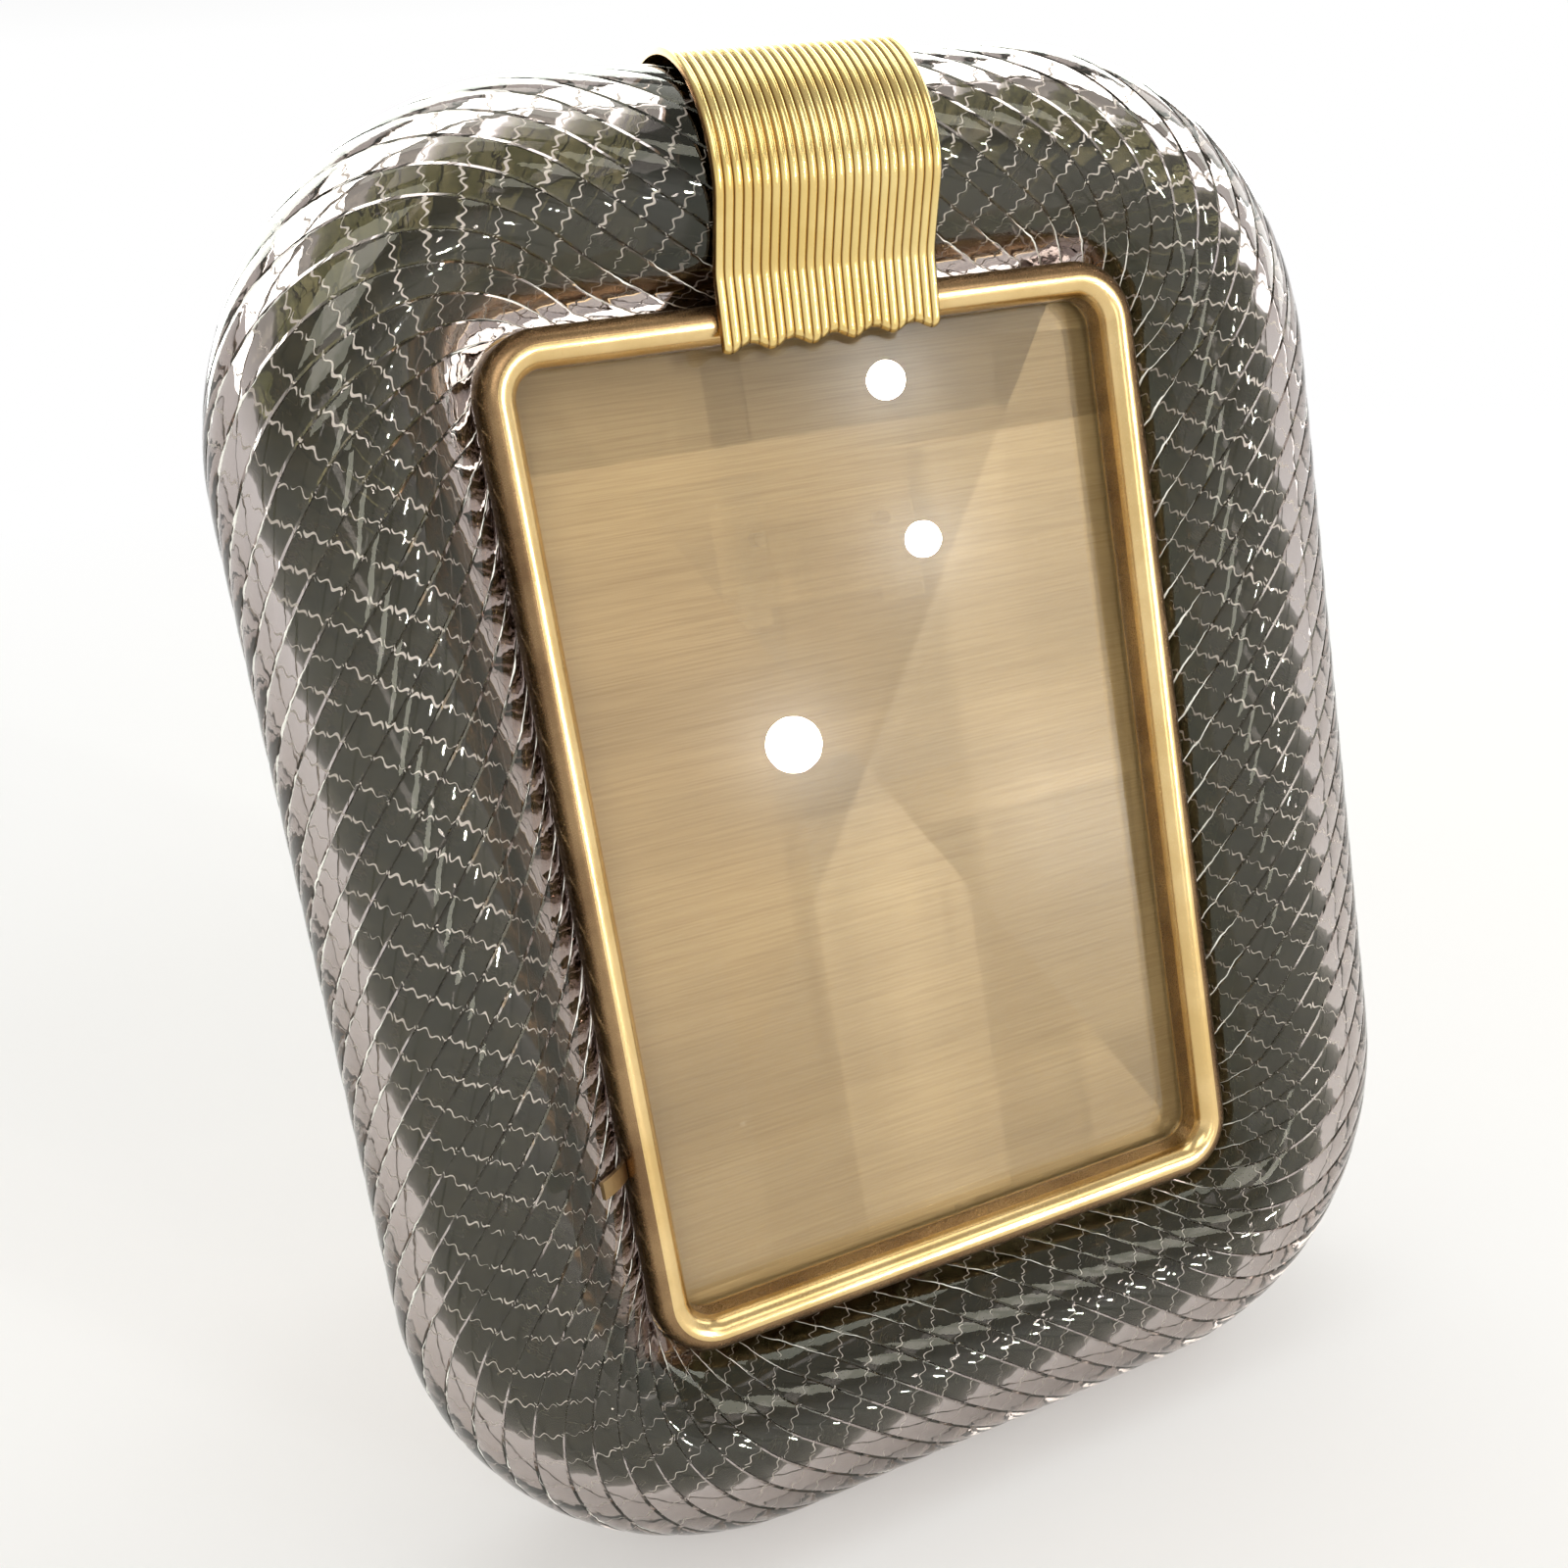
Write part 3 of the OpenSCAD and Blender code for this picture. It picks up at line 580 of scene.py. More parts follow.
def bentTube(name, ribs, rows, wall, steps, endGap, twist):
    # rows of points along a rib, as (share of its width, depth under the full round)
    radius = ring["radius"]
    lengths = legLengths()
    starts = [sum(lengths[:i]) for i in range(len(lengths) + 1)]
    run = starts[-1] - 2 * endGap
    piece = addCircle(name, ribs * len(rows))
    for i, vertex in enumerate(piece.data.vertices):
        share, depth = rows[i % len(rows)]
        angle = 2 * math.pi * (i // len(rows) + share) / ribs
        vertex.co = (1 - depth / radius) * Vector((math.cos(angle), math.sin(angle), 0))
    addModifier(piece, "SCREW", axis="Z", angle=twist * run, screw_offset=run, steps=steps,
                render_steps=steps, use_smooth_shade=True)
    bpy.ops.object.mode_set(mode="EDIT")
    bpy.ops.mesh.select_all(action="DESELECT")
    bpy.ops.mesh.select_non_manifold()
    bpy.ops.mesh.edge_face_add()
    bpy.ops.mesh.select_all(action="SELECT")
    bpy.ops.mesh.normals_make_consistent(inside=False)
    bpy.ops.object.mode_set(mode="OBJECT")
    if wall:
        markLines(piece, ring["boreLines"], ring["boreLinePitch"], 0)
    else:
        markLines(piece, ring["ribs"], -ring["ribPitch"], 1)
    for vertex in piece.data.vertices:
        x, y, along = vertex.co
        along += endGap
        leg = next((i for i in range(8) if along < starts[i + 1]), 8)
        inner, outer, press = ringStation(leg, min(1, (along - starts[leg]) / lengths[leg]))
        angle = -math.atan2(y, x)
        fade = min(1, (1 + math.cos(angle)) / ring["seatShare"])
        away = 1 - (1 - math.hypot(x, y)) * fade
        width = (outer - inner).length
        halfWidth = (width + (press if math.sin(angle) > 0 and not wall else 0)) / 2
        reach = halfWidth - (halfWidth - wall) * math.cos(angle) * away
        place = outer + (inner - outer) / width * min(width, reach)
        vertex.co = (place.x * mm, -(radius - wall) * math.sin(angle) * away * mm, place.y * mm)
    return piece


def makeGlassRing():
    twist = 2 * math.pi / ring["ribs"] / ring["ribPitch"]
    piece = bentTube("glassRing", ring["ribs"], ring["ribRows"], 0, ring["steps"], 0, twist)
    piece.data.materials.append(materials["smokyGlass"])
    bore = bentTube("ringBore", ring["boreSides"], [(0, 0)], ring["wall"], ring["boreSteps"], ring["wall"], 0)
    bore.data.flip_normals()
    bore.data.materials.append(materials["smokyCore"])
    joinPieces([piece, bore])
    return settle(piece, "glass_ring", ring["smoothAngle"])


glassRing = makeGlassRing()
print("glass ring ready", len(glassRing.data.polygons))


# Bezel: its section is swept round the opening

bezel = {
    "half": (48.4, 73.2),
    "corner": 4.5,
    "beadWidth": 5.6,
    "beadY": -8.8,
    "beadSteps": 28,
    "paneY": -4.4,
    "lip": ((0.35, 0), (0.35, -0.75), (0.23, -0.9), (0.05, -0.95), (0, -1.05)),
    "wallRows": (-6.4, -7.6),
    "flankRows": (-6.0, -2.0, 2.0),
    "backY": 5.3,
    "backEdge": 0.3,
    "skirtInner": 2.4,
    "flankShadeFrom": 0.56,
    "wallShadeTo": 0.3,
    "smoothAngle": 28,
}
sweep = {"straightSteps": 6, "cornerSteps": 12}


def sweptOutline(half, corner):
    # points in x and z, anticlockwise from the top of the right side, and closed
    cornerSteps, straightSteps = sweep["cornerSteps"], sweep["straightSteps"]
    points = []
    for turnIndex, (sx, sz) in enumerate(((1, 1), (-1, 1), (-1, -1), (1, -1))):
        middle = Vector((sx * (half[0] - corner), sz * (half[1] - corner)))
        arc = [middle + corner * Vector((math.cos(a), math.sin(a))) for a in
               (math.radians(90 * (turnIndex + i / cornerSteps)) for i in range(cornerSteps + 1))]
        if points:
            last = points[-1]
            points += [last.lerp(arc[0], i / straightSteps) for i in range(1, straightSteps)]
        points += arc
    first, last = points[0], points[-1]
    return points + [last.lerp(first, i / straightSteps) for i in range(1, straightSteps + 1)]


def wrapProfile(name, profile, inner, outer):
    # profile rows are (share from the inner to the outer outline, y), and an outline is (half size, corner)
    stations = list(zip(sweptOutline(*inner), sweptOutline(*outer)))
    piece = addCircle(name, len(profile))
    for vertex, (share, y) in zip(piece.data.vertices, profile):
        vertex.co = (share, y, 0)
    steps = len(stations) - 1
    addModifier(piece, "SCREW", axis="Z", angle=0, screw_offset=steps, steps=steps, render_steps=steps)
    for vertex in piece.data.vertices:
        near, far = stations[round(vertex.co.z)]
        place = near.lerp(far, vertex.co.x)
        vertex.co = (place.x * mm, vertex.co.y * mm, place.y * mm)
    weldAndTurnOut(piece)
    return piece


def makeBezel():
    radius, width = bezel["beadWidth"] / 2, bezel["beadWidth"]
    paneY, backY, edge = bezel["paneY"], bezel["backY"], bezel["backEdge"]
    section = [(x, paneY + y) for x, y in bezel["lip"]]
    section += [(0, y) for y in bezel["wallRows"]]
    for i in range(bezel["beadSteps"] + 1):
        turn = math.pi * i / bezel["beadSteps"]
        section.append((radius - radius * math.cos(turn), bezel["beadY"] - radius * math.sin(turn)))
    section += [(width, y) for y in bezel["flankRows"]]
    section += [(width, backY - edge), (width - edge, backY), (bezel["skirtInner"], backY),
                (bezel["skirtInner"], paneY)]
    half, corner = bezel["half"], bezel["corner"]
    outerHalf = (half[0] + width, half[1] + width)
    piece = wrapProfile("bezel", [(x / width, y) for x, y in section], (half, corner),
                        (outerHalf, corner + width))
    for finish in ("brass", "bezelFlankShade", "bezelWallShade"):
        piece.data.materials.append(materials[finish])
    for face in piece.data.polygons:
        # painted shade and a painted dark reflection on the bead's outer half, and painted shade on the wall
        # down to the pane, as darker brass
        beyondX = max(abs(face.center.x) / mm - half[0] + corner, 0)
        beyondZ = max(abs(face.center.z) / mm - half[1] + corner, 0)
        outwards = math.hypot(beyondX, beyondZ) - corner
        face.material_index = int(outwards > bezel["flankShadeFrom"] * width)
        if outwards < bezel["wallShadeTo"] and face.center.y / mm > bezel["beadY"]:
            face.material_index = 2
    return settle(piece, "bezel", bezel["smoothAngle"])


makeBezel()
print("bezel ready")


# Reeded clip: a reeded sheet is laid over the tube and down over the bezel

clip = {
    "width": 35.6,
    "wall": 0.9,
    "reeds": 25,
    "columnsPerReed": 6,
    "reedHeight": 0.44,
    "reedPower": 0.8,
    # painted shade in the valleys between the reeds
    "valleyShadeColour": (0.28, 0.15, 0.05),
    "tubeZ": 96.6,
    "radius": 18.6,
    "backAngle": 20.46,
    "frontAngle": 281,
    "arcSteps": 90,
    "foot": (6.5, 75.6),
    "crease": (-12.76, 82.5),
    "tabSlope": 6.5,
    "tabLength": 11.2,
    "scallops": 6,
    "scallopDepth": 1.2,
    "scallopPower": 0.8,
    "edgeShare": 0.17,
    "thinReach": 1.4,
    "thinShare": 0.35,
    "rows": 190,
    "bendReach": 1.3,
    "bendSamples": 4,
    "smoothAngle": 50,
}


def clipLine():
    # places along the clip's inner side in y and z, evenly spaced and with soft bends
    def onTube(angle):
        return Vector((clip["radius"] * math.sin(angle), clip["tubeZ"] - clip["radius"] * math.cos(angle)))

    backAngle, frontAngle = clip["backAngle"], clip["frontAngle"]
    corners = [Vector(clip["foot"]), Vector((clip["foot"][0], onTube(math.radians(backAngle)).y))]
    for i in range(1, clip["arcSteps"] + 1):
        corners.append(onTube(math.radians(backAngle + (frontAngle - backAngle) * i / clip["arcSteps"])))
    slope = math.radians(clip["tabSlope"])
    crease = Vector(clip["crease"])
    corners += [crease, crease + clip["tabLength"] * Vector((math.sin(slope), -math.cos(slope)))]
    runs = [0.0]
    for a, b in zip(corners, corners[1:]):
        runs.append(runs[-1] + (b - a).length)

    def at(run):
        run = min(max(run, 0), runs[-1])
        i = next((k for k in range(len(runs) - 2) if run <= runs[k + 1]), len(runs) - 2)
        return corners[i].lerp(corners[i + 1], (run - runs[i]) / (runs[i + 1] - runs[i]))

    line = []
    spread = clip["bendSamples"]
    for row in range(clip["rows"] + 1):
        run = runs[-1] * row / clip["rows"]
        reach = min(clip["bendReach"], run, runs[-1] - run)
        samples = [at(run + reach * k / spread) for k in range(-spread, spread + 1)]
        line.append(sum(samples, Vector((0, 0))) / len(samples))
    outs = []
    for i in range(len(line)):
        along = line[min(i + 1, len(line) - 1)] - line[max(i - 1, 0)]
        outs.append(Vector((along.y, -along.x)).normalized())
    return line, outs, runs[-1]


def makeClip():
    line, outs, total = clipLine()
    rows = clip["rows"]
    clearSelection()
    columns = clip["reeds"] * clip["columnsPerReed"]
    bpy.ops.mesh.primitive_grid_add(x_subdivisions=columns, y_subdivisions=rows, size=2)
    piece = nameActive("reededClip")
    addModifier(piece, "SOLIDIFY", thickness=0.2, offset=0)  # two skins, each laid in its place below
    pitch = clip["width"] / (clip["scallops"] - 1 + 2 * clip["edgeShare"])
    creaseRow = rows * (1 - clip["tabLength"] / total)
    for vertex in piece.data.vertices:
        across, down, side = vertex.co
        x = across * clip["width"] / 2
        row = (down + 1) / 2 * rows
        if row > creaseRow:
            # the scallops draw the tab's rows back
            turn = 2 * math.pi * (x + clip["width"] / 2 - clip["edgeShare"] * pitch) / pitch
            wave = (1 - math.cos(turn)) / 2
            share = 1 - clip["scallopDepth"] * wave ** clip["scallopPower"] / clip["tabLength"]
            row = creaseRow + (row - creaseRow) * share
        i = min(int(row), rows - 1)
        place = line[i].lerp(line[i + 1], row - i)
        out = outs[i].lerp(outs[i + 1], row - i)
        height = 0
        if side > 0:
            crest = abs(math.sin(math.pi * clip["reeds"] * (across + 1) / 2)) ** clip["reedPower"]
            height = clip["wall"] + clip["reedHeight"] * crest
            edge = (1 - (down + 1) / 2) * total
            if edge < clip["thinReach"]:
                rounded = math.sqrt(1 - (1 - edge / clip["thinReach"]) ** 2)
                height *= clip["thinShare"] + (1 - clip["thinShare"]) * rounded
        vertex.co = (x * mm, (place.x + out.x * height) * mm, (place.y + out.y * height) * mm)
    weldAndTurnOut(piece)
    piece.data.materials.append(makeBrass("clipBrass", clip))
    return settle(piece, "reeded_clip", clip["smoothAngle"])


makeClip()
print("clip ready")


# Pane and board: rounded plates with softened edges

def plateOutline(half, corner, steps):
    points = []
    for turnIndex, (sx, sz) in enumerate(((1, 1), (-1, 1), (-1, -1), (1, -1))):
        for i in range(steps + 1):
            a = math.radians(90 * (turnIndex + i / steps))
            points.append((sx * (half[0] - corner) + corner * math.cos(a),
                           sz * (half[1] - corner) + corner * math.sin(a)))
    return points


def makePlate(name, outline, front, thickness, edge, edgeSteps=2):
    piece = addCircle(name, len(outline))
    for vertex, (x, z) in zip(piece.data.vertices, outline):
        vertex.co = (x * mm, front * mm, z * mm)
    back = {"value": (0, thickness * mm, 0)}
    editAll(piece, lambda: bpy.ops.mesh.edge_face_add(),
            lambda: bpy.ops.mesh.extrude_region_move(TRANSFORM_OT_translate=back),
            lambda: bpy.ops.mesh.select_all(action="SELECT"),
            lambda: bpy.ops.mesh.normals_make_consistent(inside=False))
    bevelEdges(piece, edge, edgeSteps)
    return piece


plate = {"half": (50.5, 75.3), "corner": 6.6, "cornerSteps": 6}
pane = {"front": -4.4, "thickness": 2.0, "edge": 0.25, "edgeSteps": 2, "smoothAngle": 20}
board = {"front": -2.4, "thickness": 8.8, "edge": 0.5, "edgeSteps": 3, "smoothAngle": 30}

for name, kind, node, slot, finish in (("glassPane", pane, "glass_pane", "clear_glass", "paneGlass"),
                                       ("backBoard", board, "back_board", "wood", "boardWood")):
    outline = plateOutline(plate["half"], plate["corner"], plate["cornerSteps"])
    piece = makePlate(name, outline, kind["front"], kind["thickness"], kind["edge"], kind["edgeSteps"])
    piece.data.materials.append(materials[finish])
    settle(piece, node, kind["smoothAngle"])
print("pane and board ready")


# Rear frame: a flat brass ring with broken edges, swept like the bezel

rearFrame = {"inner": (50.8, 75.6), "innerCorner": 6.9, "outer": (54.911, 79.711), "outerCorner": 10.611,
             "front": 5.3, "back": 6.5, "edge": 0.22, "smoothAngle": 30}


def makeRearFrame():
    front, back, edge = rearFrame["front"], rearFrame["back"], rearFrame["edge"]
    share = edge / (rearFrame["outer"][0] - rearFrame["inner"][0])
    section = [(0, front), (1, front), (1, back - edge), (1 - share, back), (share, back), (0, back - edge)]
    piece = wrapProfile("rearFrame", section, (rearFrame["inner"], rearFrame["innerCorner"]),
                        (rearFrame["outer"], rearFrame["outerCorner"]))
    piece.data.materials.append(materials["rearBrass"])
    return settle(piece, "rear_frame", rearFrame["smoothAngle"])


makeRearFrame()
print("rear frame ready")


# The strut's own axes start at its hinge pin, which the screws in its leaf need too

strutOpen = math.radians(34)
hinge = {"y": 9.1, "z": 30, "barrel": 2.4, "barrelSides": 36, "leaf": 1.2, "wall": 1.15, "edge": 0.15,
         "pin": 1.2, "pinLength": 36, "pinSides": 32, "pinEdge": 0.3, "smoothAngle": 35}
strutToWorld = (panelToWorld @ Matrix.Translation((0, hinge["y"] * mm, hinge["z"] * mm))
                @ Matrix.Rotation(strutOpen, 4, "X"))


# Slotted screws: each kind is modelled once and copied to its places

screwShape = {"sides": 28, "round": 0.5, "roundSteps": 4, "slotWidth": 0.2, "slotDepth": 0.5, "turnStep": 67,
              "smoothAngle": 30}

# head and shank are (radius, length), face is the y of the surface that the head sits on
screwKinds = {
    "rearFrameScrews": {"node": "rear_frame_screws", "head": (1.8, 0.8), "shank": (1.0, 3.0), "face": 6.5,
                        "places": [(x * a, z * b) for x in (-1, 1) for z in (-1, 1)
                                   for a, b in ((52.4, 14.64), (52.4, 65.88), (29.04, 77.2))]},
    "clipScrews": {"node": "clip_screws", "head": (1.0, 0.6), "shank": (0.8, 3.0), "face": 7.4,
                   "places": [(-11.867, 77.2), (11.867, 77.2)]},
    "turnButtonScrews": {"node": "turn_button_screws", "head": (1.8, 0.8), "shank": (1.0, 4.0), "face": 7.8,
                         "places": [(x * 52.4, z * 45) for x in (-1, 1) for z in (-1, 1)]},
    "boardLeafScrews": {"node": "board_leaf_screws", "head": (2.1, 1.0), "shank": (1.1, 4.0), "face": 7.6,
                        "places": [(-11, 44), (11, 44)]},
    "strutLeafScrews": {"node": "strut_leaf_screws", "head": (2.1, 1.0), "shank": (1.1, 4.0), "face": 1.2,
                        "body": "strut", "places": [(x * 8, z) for x in (-1, 1) for z in (-8.5, -15.5)]},
}


def selectFaces(piece, wanted):
    bpy.context.tool_settings.mesh_select_mode = (False, False, True)
    bpy.ops.object.mode_set(mode="OBJECT")
    for part in (piece.data.vertices, piece.data.edges):
        part.foreach_set("select", [False] * len(part))
    for face in piece.data.polygons:
        face.select = wanted(face.center, face.normal)
    bpy.ops.object.mode_set(mode="EDIT")


def extrudeDown(depth):
    bpy.ops.mesh.extrude_region_move(TRANSFORM_OT_translate={"value": (0, 0, -depth)})


def makeScrewSet(name, kind):
    headRadius, headHeight = (v * mm for v in kind["head"])
    shankRadius, shankDepth = (v * mm for v in kind["shank"])
    slot = screwShape["slotWidth"] * headRadius
    master = addCylinder(name, screwShape["sides"], headRadius, headHeight, (0, 0, headHeight / 2))
    # round the head's top edge, draw the shank out of its underside, then cut the slot
    selectFaces(master, lambda center, normal: normal.z > 0.9)
    bpy.ops.mesh.bevel(offset=screwShape["round"] * headHeight, segments=screwShape["roundSteps"],
                       affect="EDGES")
    selectFaces(master, lambda center, normal: normal.z < -0.9)
    bpy.ops.mesh.inset(thickness=headRadius - shankRadius, depth=0)
    extrudeDown(shankDepth)
    for side in (-slot, slot):
        bpy.ops.mesh.select_all(action="SELECT")
        bpy.ops.mesh.bisect(plane_co=(side, 0, 0), plane_no=(1, 0, 0))
    selectFaces(master, lambda center, normal: normal.z > 0.3 and abs(center.x) < slot)
    extrudeDown(screwShape["slotDepth"] * headHeight)
    bpy.ops.object.mode_set(mode="OBJECT")
    master.data.materials.append(materials["agedBrass"])
    onStrut = kind.get("body") == "strut"
    copies = []
    for i, (x, z) in enumerate(kind["places"]):
        screw = master.copy()
        screw.data = master.data.copy()
        bpy.context.scene.collection.objects.link(screw)
        screw.data.transform(Matrix.Translation((x * mm, kind["face"] * mm, z * mm))
                             @ Matrix.Rotation(math.radians(90 if onStrut else -90), 4, "X")
                             @ Matrix.Rotation(math.radians(screwShape["turnStep"] * (i + 1)), 4, "Z"))
        copies.append(screw)
    bpy.data.objects.remove(master)
    joinPieces(copies)
    return settle(nameActive(name), kind["node"], screwShape["smoothAngle"],
                  kind.get("body", "panel"), strutToWorld if onStrut else panelToWorld)


for name, kind in screwKinds.items():
    makeScrewSet(name, kind)
print("screws ready")


# Turn buttons: a flat tongue with a nib for the fingertip

turnButton = {"pivot": (52.4, 45), "front": 6.55, "thickness": 1.2, "halfWidth": 1.9, "reach": 8.0,
              "edge": 0.2, "endSteps": 12, "nib": (1.14, 0.6), "nibSides": 24, "nibEdge": 0.25,
              "smoothAngle": 35}


def makeTurnButton(sideX, sideZ):
    half, steps = turnButton["halfWidth"], turnButton["endSteps"]
    pivotX, pivotZ = sideX * turnButton["pivot"][0], sideZ * turnButton["pivot"][1]
    tipX = pivotX - sideX * turnButton["reach"]
    outline = []
    for middle, start in ((max(pivotX, tipX), -90), (min(pivotX, tipX), 90)):
        for i in range(steps + 1):
            a = math.radians(start + 180 * i / steps)
            outline.append((middle + half * math.cos(a), pivotZ + half * math.sin(a)))
    title = "turnButton" + ("Left" if sideX < 0 else "Right") + ("Low" if sideZ < 0 else "High")
    node = "turn_button_" + ("left" if sideX < 0 else "right") + ("_low" if sideZ < 0 else "_high")
    piece = makePlate(title, outline, turnButton["front"], turnButton["thickness"], turnButton["edge"])
    radius, height = turnButton["nib"]
    back = turnButton["front"] + turnButton["thickness"]
    nib = addCylinder(title + "Nib", turnButton["nibSides"], radius * mm, 2 * height * mm,
                      (tipX * mm, back * mm, pivotZ * mm), (math.radians(-90), 0, 0))
    bevelEdges(nib, turnButton["nibEdge"], 3)
    joinPieces([piece, nib])
    piece.data.materials.append(materials["rearBrass"])
    return settle(piece, node, turnButton["smoothAngle"], node)


for sideX in (-1, 1):
    for sideZ in (-1, 1):
        makeTurnButton(sideX, sideZ)
print("turn buttons ready")


# Hinge: two leaves with their barrel pieces, on one pin

leaves = {
    "hingeBoardLeaf": {
        "outline": ((-18, 30), (-9.87, 30), (-9.87, 32.7), (9.87, 32.7), (9.87, 30), (18, 30), (18, 49),
                    (17, 50), (-17, 50), (-18, 49)),
        "front": 6.4, "barrels": ((-18, -9.87), (9.87, 18)), "barrelPlace": (0, hinge["y"], hinge["z"]),
        "node": "hinge_board_leaf", "body": "panel", "toWorld": panelToWorld},
    "hingeStrutLeaf": {
        "outline": ((-13.4, -20), (13.4, -20), (14.4, -19), (14.4, -3.3), (9.57, -3.3), (9.57, -0.8),
                    (-9.57, -0.8), (-9.57, -3.3), (-14.4, -3.3), (-14.4, -19)),
        "front": 1.2, "barrels": ((-9.57, 9.57),), "barrelPlace": (0, 0, 0),
        "node": "hinge_strut_leaf", "body": "strut", "toWorld": strutToWorld},
}


def makeBarrel(name, low, high, place):
    barrel = addCylinder(name, hinge["barrelSides"], hinge["barrel"] * mm, (high - low) * mm,
                         ((low + high) / 2 * mm, 0, 0), (0, math.radians(90), 0), "NOTHING")
    addModifier(barrel, "SOLIDIFY", thickness=hinge["wall"] * mm, offset=-1)
    bevelEdges(barrel, hinge["edge"], 2, angle=60)
    barrel.data.transform(Matrix.Translation([v * mm for v in place]))
    return barrel


def makeLeaf(name, kind):
    piece = makePlate(name, kind["outline"], kind["front"], hinge["leaf"], hinge["edge"])
    joinPieces([piece] + [makeBarrel(name + "Barrel", low, high, kind["barrelPlace"])
                          for low, high in kind["barrels"]])
    piece.data.materials.append(materials["rearBrass"])
    return settle(piece, kind["node"], hinge["smoothAngle"], kind["body"], kind["toWorld"])


for name, kind in leaves.items():
    makeLeaf(name, kind)

hingePin = addCylinder("hingePin", hinge["pinSides"], hinge["pin"] * mm, hinge["pinLength"] * mm,
                       (0, hinge["y"] * mm, hinge["z"] * mm), (0, math.radians(90), 0))
bevelEdges(hingePin, hinge["pinEdge"], 3, angle=60)
hingePin.data.materials.append(materials["agedBrass"])
settle(hingePin, "hinge_pin", hinge["smoothAngle"])
print("hinge ready")


# Strut: a tapered wooden leg, its foot cut flat on the table and its heel bevelled to clear the leaf

strut = {"front": 2.4, "thickness": 5.0, "topHalf": 17.0, "spread": 0.05868, "top": 7.0, "reach": 175.0,
         "relief": 2.8, "reliefSteps": 6, "heelY": 7.65, "edge": 0.5, "smoothAngle": 30}


def makeStrut():
    front, back, relief = strut["front"], strut["front"] + strut["thickness"], strut["relief"]
    widest = math.degrees(math.acos(front / relief))
    section = [(front, strut["top"]), (back, strut["top"]), (back, 0), (back, -strut["reach"]),
               (front, -strut["reach"])]
    for i in range(strut["reliefSteps"] + 1):
        a = math.radians(widest * (2 * i / strut["reliefSteps"] - 1))
        section.append((relief * math.cos(a), relief * math.sin(a)))
    piece = addCircle("strutLeg", len(section))
    for vertex, (y, z) in zip(piece.data.vertices, section):
        vertex.co = (-1, y * mm, z * mm)
    editAll(piece, lambda: bpy.ops.mesh.edge_face_add(),
            lambda: bpy.ops.mesh.extrude_region_move(TRANSFORM_OT_translate={"value": (2, 0, 0)}))
    for vertex in piece.data.vertices:
        vertex.co.x *= (strut["topHalf"] + strut["spread"] * max(0, -vertex.co.z / mm)) * mm
    weldAndTurnOut(piece)
    piece.data.transform(strutToWorld)
    # cut off what lies under the table and what lies in front of the heel's plane
    heel = panelToWorld @ Vector((0, strut["heelY"] * mm, 0))
    heelNormal = panelToWorld.to_3x3() @ Vector((0, 1, 0))
    for place, normal in ((Vector((0, 0, 0)), Vector((0, 0, 1))), (heel, heelNormal)):
        editAll(piece, lambda: bpy.ops.mesh.bisect(plane_co=place, plane_no=normal, use_fill=True,
                                                   clear_inner=True))
    bevelEdges(piece, strut["edge"], 2, angle=35)
    piece.data.materials.append(materials["strutWood"])
    return settle(piece, "strut", strut["smoothAngle"], "strut", Matrix())


makeStrut()
print("strut ready")


# A wide round floor of pale paper, which fades to plain white away from the object

stage = {"radius": 14.0, "sides": 96, "colour": (0.86, 0.855, 0.85), "roughness": 0.9, "fade": (0.25, 1.0),
         "white": (0.15, 1.0)}


def makeStage():
    clearSelection()
    bpy.ops.mesh.primitive_circle_add(vertices=stage["sides"], radius=stage["radius"], fill_type="NGON")
    floor = nameActive("floor")
    mat, tree, shader, out = newMaterial("paper")
    setSockets(shader, Roughness=stage["roughness"], Base_Color=(*stage["colour"], 1))
    fade = rangeNode(tree, vectorLength(tree, objectCoords(tree)), *stage["white"], *stage["fade"])
    # camera, mirrors and glass see the white; the object is lit by the paper alone
    seen = addNode(tree, "LightPath").outputs
    shown = mathNode(tree, "MAXIMUM", seen["Is Camera Ray"],
                     mathNode(tree, "MAXIMUM", seen["Is Glossy Ray"], seen["Is Transmission Ray"]))
    mixShaders(tree, mathNode(tree, "MULTIPLY", fade, shown), shader.outputs["BSDF"],
               addNode(tree, "Emission").outputs["Emission"], out)
    floor.data.materials.append(mat)


makeStage()

studio = {"horizon": (1.0, 1.0, 1.0), "high": (0.50, 0.49, 0.46), "fade": (0.08, 0.4)}


def makeStudio():
    world = bpy.data.worlds.new("studio")
    bpy.context.scene.world = world
    world.use_nodes = True
    tree = world.node_tree
    height = splitAxes(tree, addNode(tree, "TexCoord").outputs["Generated"])[2]
    fade = rangeNode(tree, height, 0.0, 1.0, *studio["fade"])
    tree.links.new(mixColour(tree, fade, studio["horizon"], studio["high"]),
                   tree.nodes["Background"].inputs["Color"])


makeStudio()


# Three small round lamps as the pane mirrors them, and large soft ones

# place, width and brightness
smallLamps = {
    "lampHigh": ((1.0438, -1.997, 0.708), 0.061, 700),
    "lampMiddle": ((1.0637, -2.0404, 0.4572), 0.058, 700),
    "lampLow": ((0.8128, -2.1682, 0.186), 0.092, 300),
}
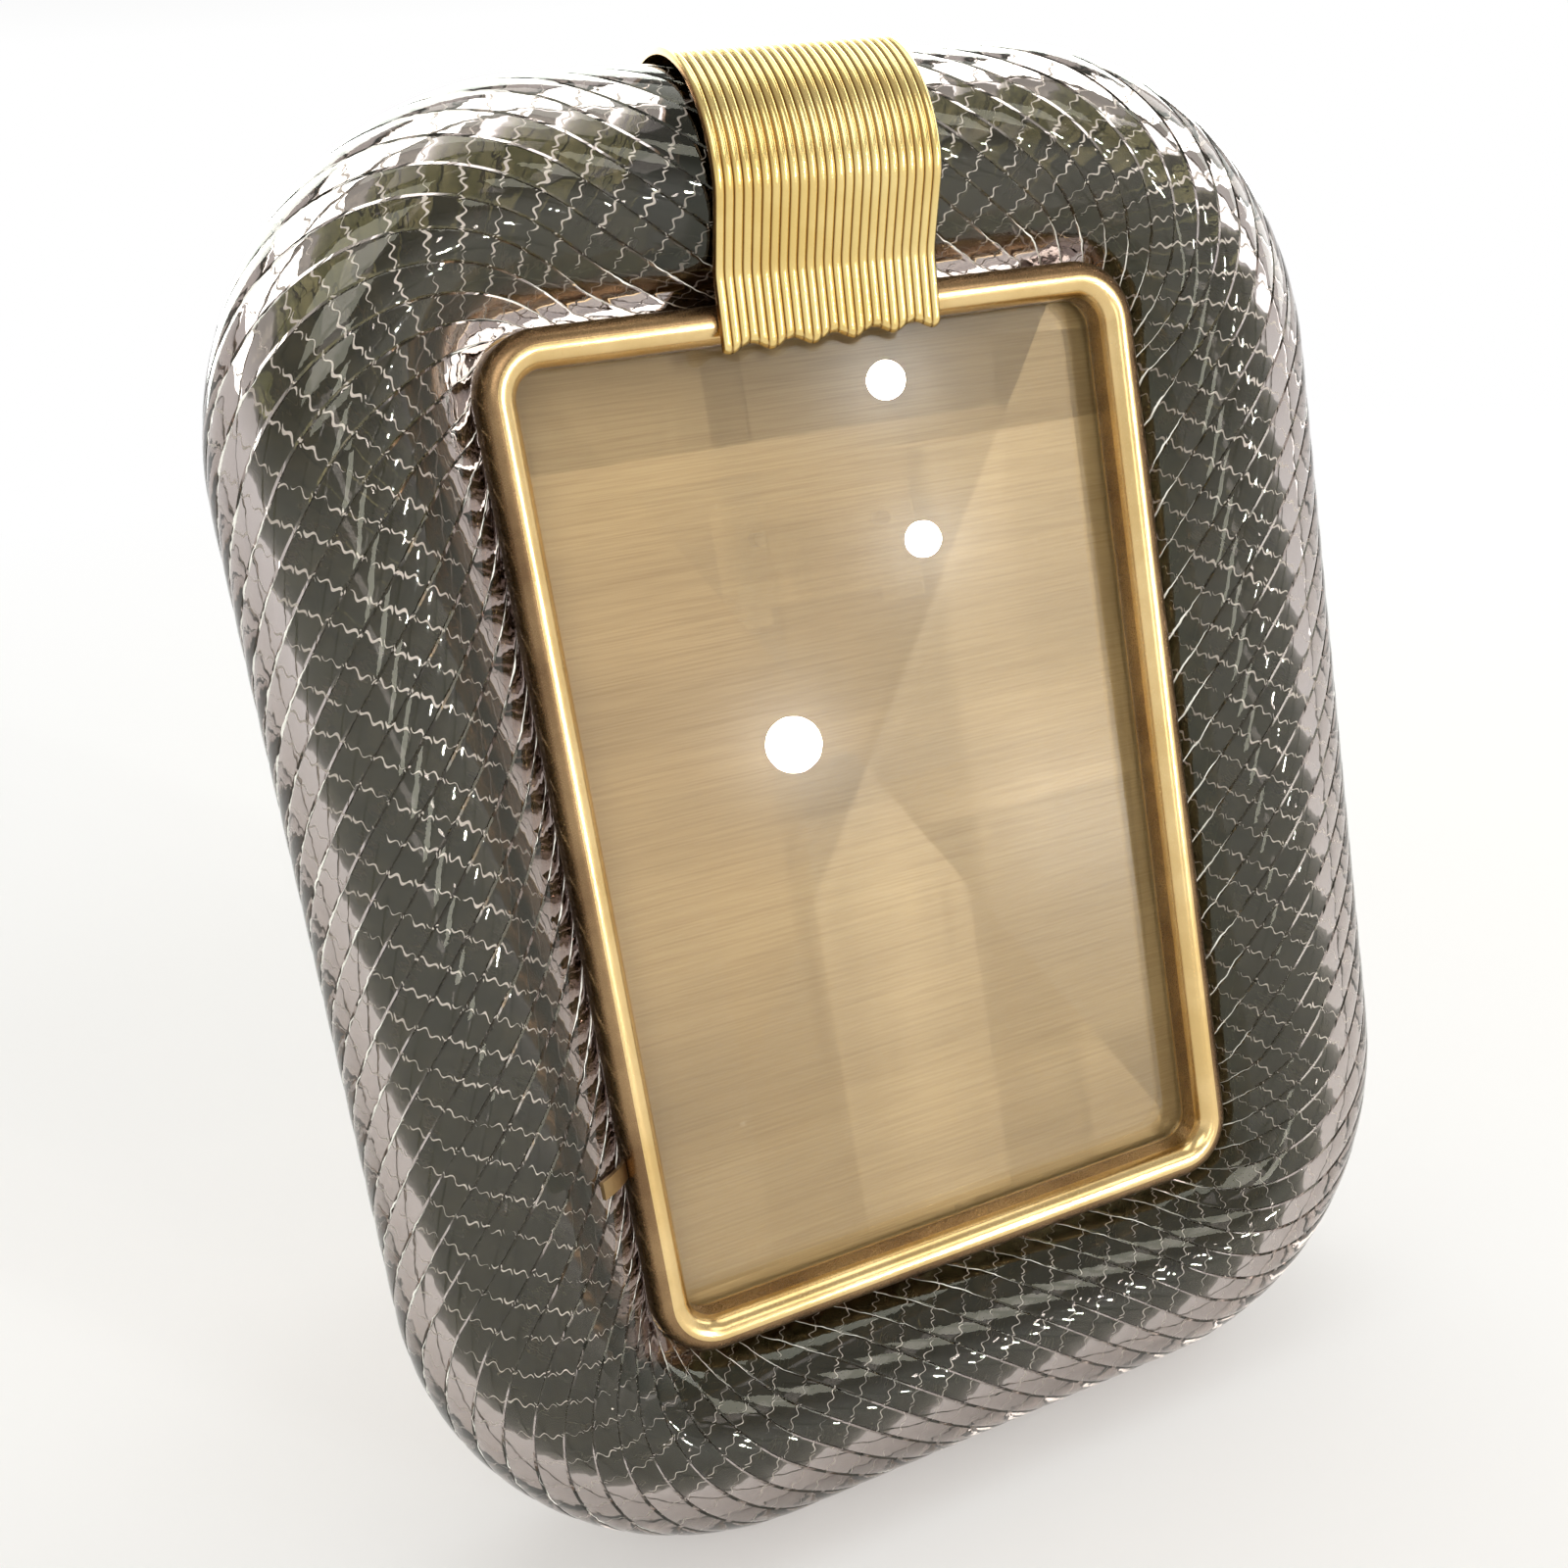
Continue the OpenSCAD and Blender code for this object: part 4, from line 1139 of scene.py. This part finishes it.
# place, size, brightness, colour, and whether it lights the paper too
softLamps = {
    "softFront": ((-0.9, -1.9, 1.9), (1.4, 1.4), 2.6, (1.0, 0.98, 0.95), True),
    "softStrip": ((-0.25, -2.0, 0.45), (0.2, 0.9), 3.5, (1.0, 0.98, 0.95), True),
    "softHigh": ((0.9, -1.6, 1.5), (1.0, 0.5), 2.5, (1.0, 0.98, 0.95), True),
    "softTop": ((0.2, 0.3, 2.2), (1.6, 1.2), 2.0, (1.0, 1.0, 1.0), True),
    "softRight": ((1.9, 0.1, 1.0), (0.9, 1.4), 2.5, (0.97, 0.99, 1.0), True),
    "glowBehind": ((0.4, 1.9, 1.2), (4.4, 2.0), 5.0, (0.95, 1.0, 0.96), False),
}


def makeLamp(name, place, size, brightness, colour=(1, 0.97, 0.92), onPaper=True):
    light = bpy.data.lights.new(name, "AREA")
    if isinstance(size, tuple):
        light.shape = "RECTANGLE"
        light.size, light.size_y = size
        area = size[0] * size[1]
    else:
        light.shape = "DISK"
        light.size = size
        area = math.pi * size * size / 4
    light.energy = brightness * math.pi * area
    light.color = colour
    lamp = bpy.data.objects.new(name, light)
    bpy.context.scene.collection.objects.link(lamp)
    lamp.location = place
    aim = Vector((0, 0, panel["middleHeight"])) - Vector(place)
    lamp.rotation_euler = aim.to_track_quat("-Z", "Y").to_euler()
    lamp.visible_camera = False
    lamp.visible_diffuse = onPaper


for lamps in (smallLamps, softLamps):
    for name, values in lamps.items():
        makeLamp(name, *values)
print("stage and lamps ready")

photoCamera = {"place": (-0.10211, -0.234496, 0.211821), "turn": (67.729, 4.5217, -23.9471), "lens": 35.918,
               "sensor": 36, "clipStart": 0.01}
cameraData = bpy.data.cameras.new("photoCamera")
camera = bpy.data.objects.new("photoCamera", cameraData)
bpy.context.scene.collection.objects.link(camera)
camera.location = photoCamera["place"]
camera.rotation_euler = [math.radians(v) for v in photoCamera["turn"]]
cameraData.lens = photoCamera["lens"]
cameraData.sensor_width = photoCamera["sensor"]
cameraData.clip_start = photoCamera["clipStart"]
bpy.context.scene.camera = camera
bpy.context.scene.view_settings.view_transform = "Standard"

lightBounces = 24  # enough for light to cross the ring's glass and bore
bpy.context.scene.cycles.max_bounces = lightBounces
bpy.context.scene.cycles.transmission_bounces = lightBounces
print("scene ready")
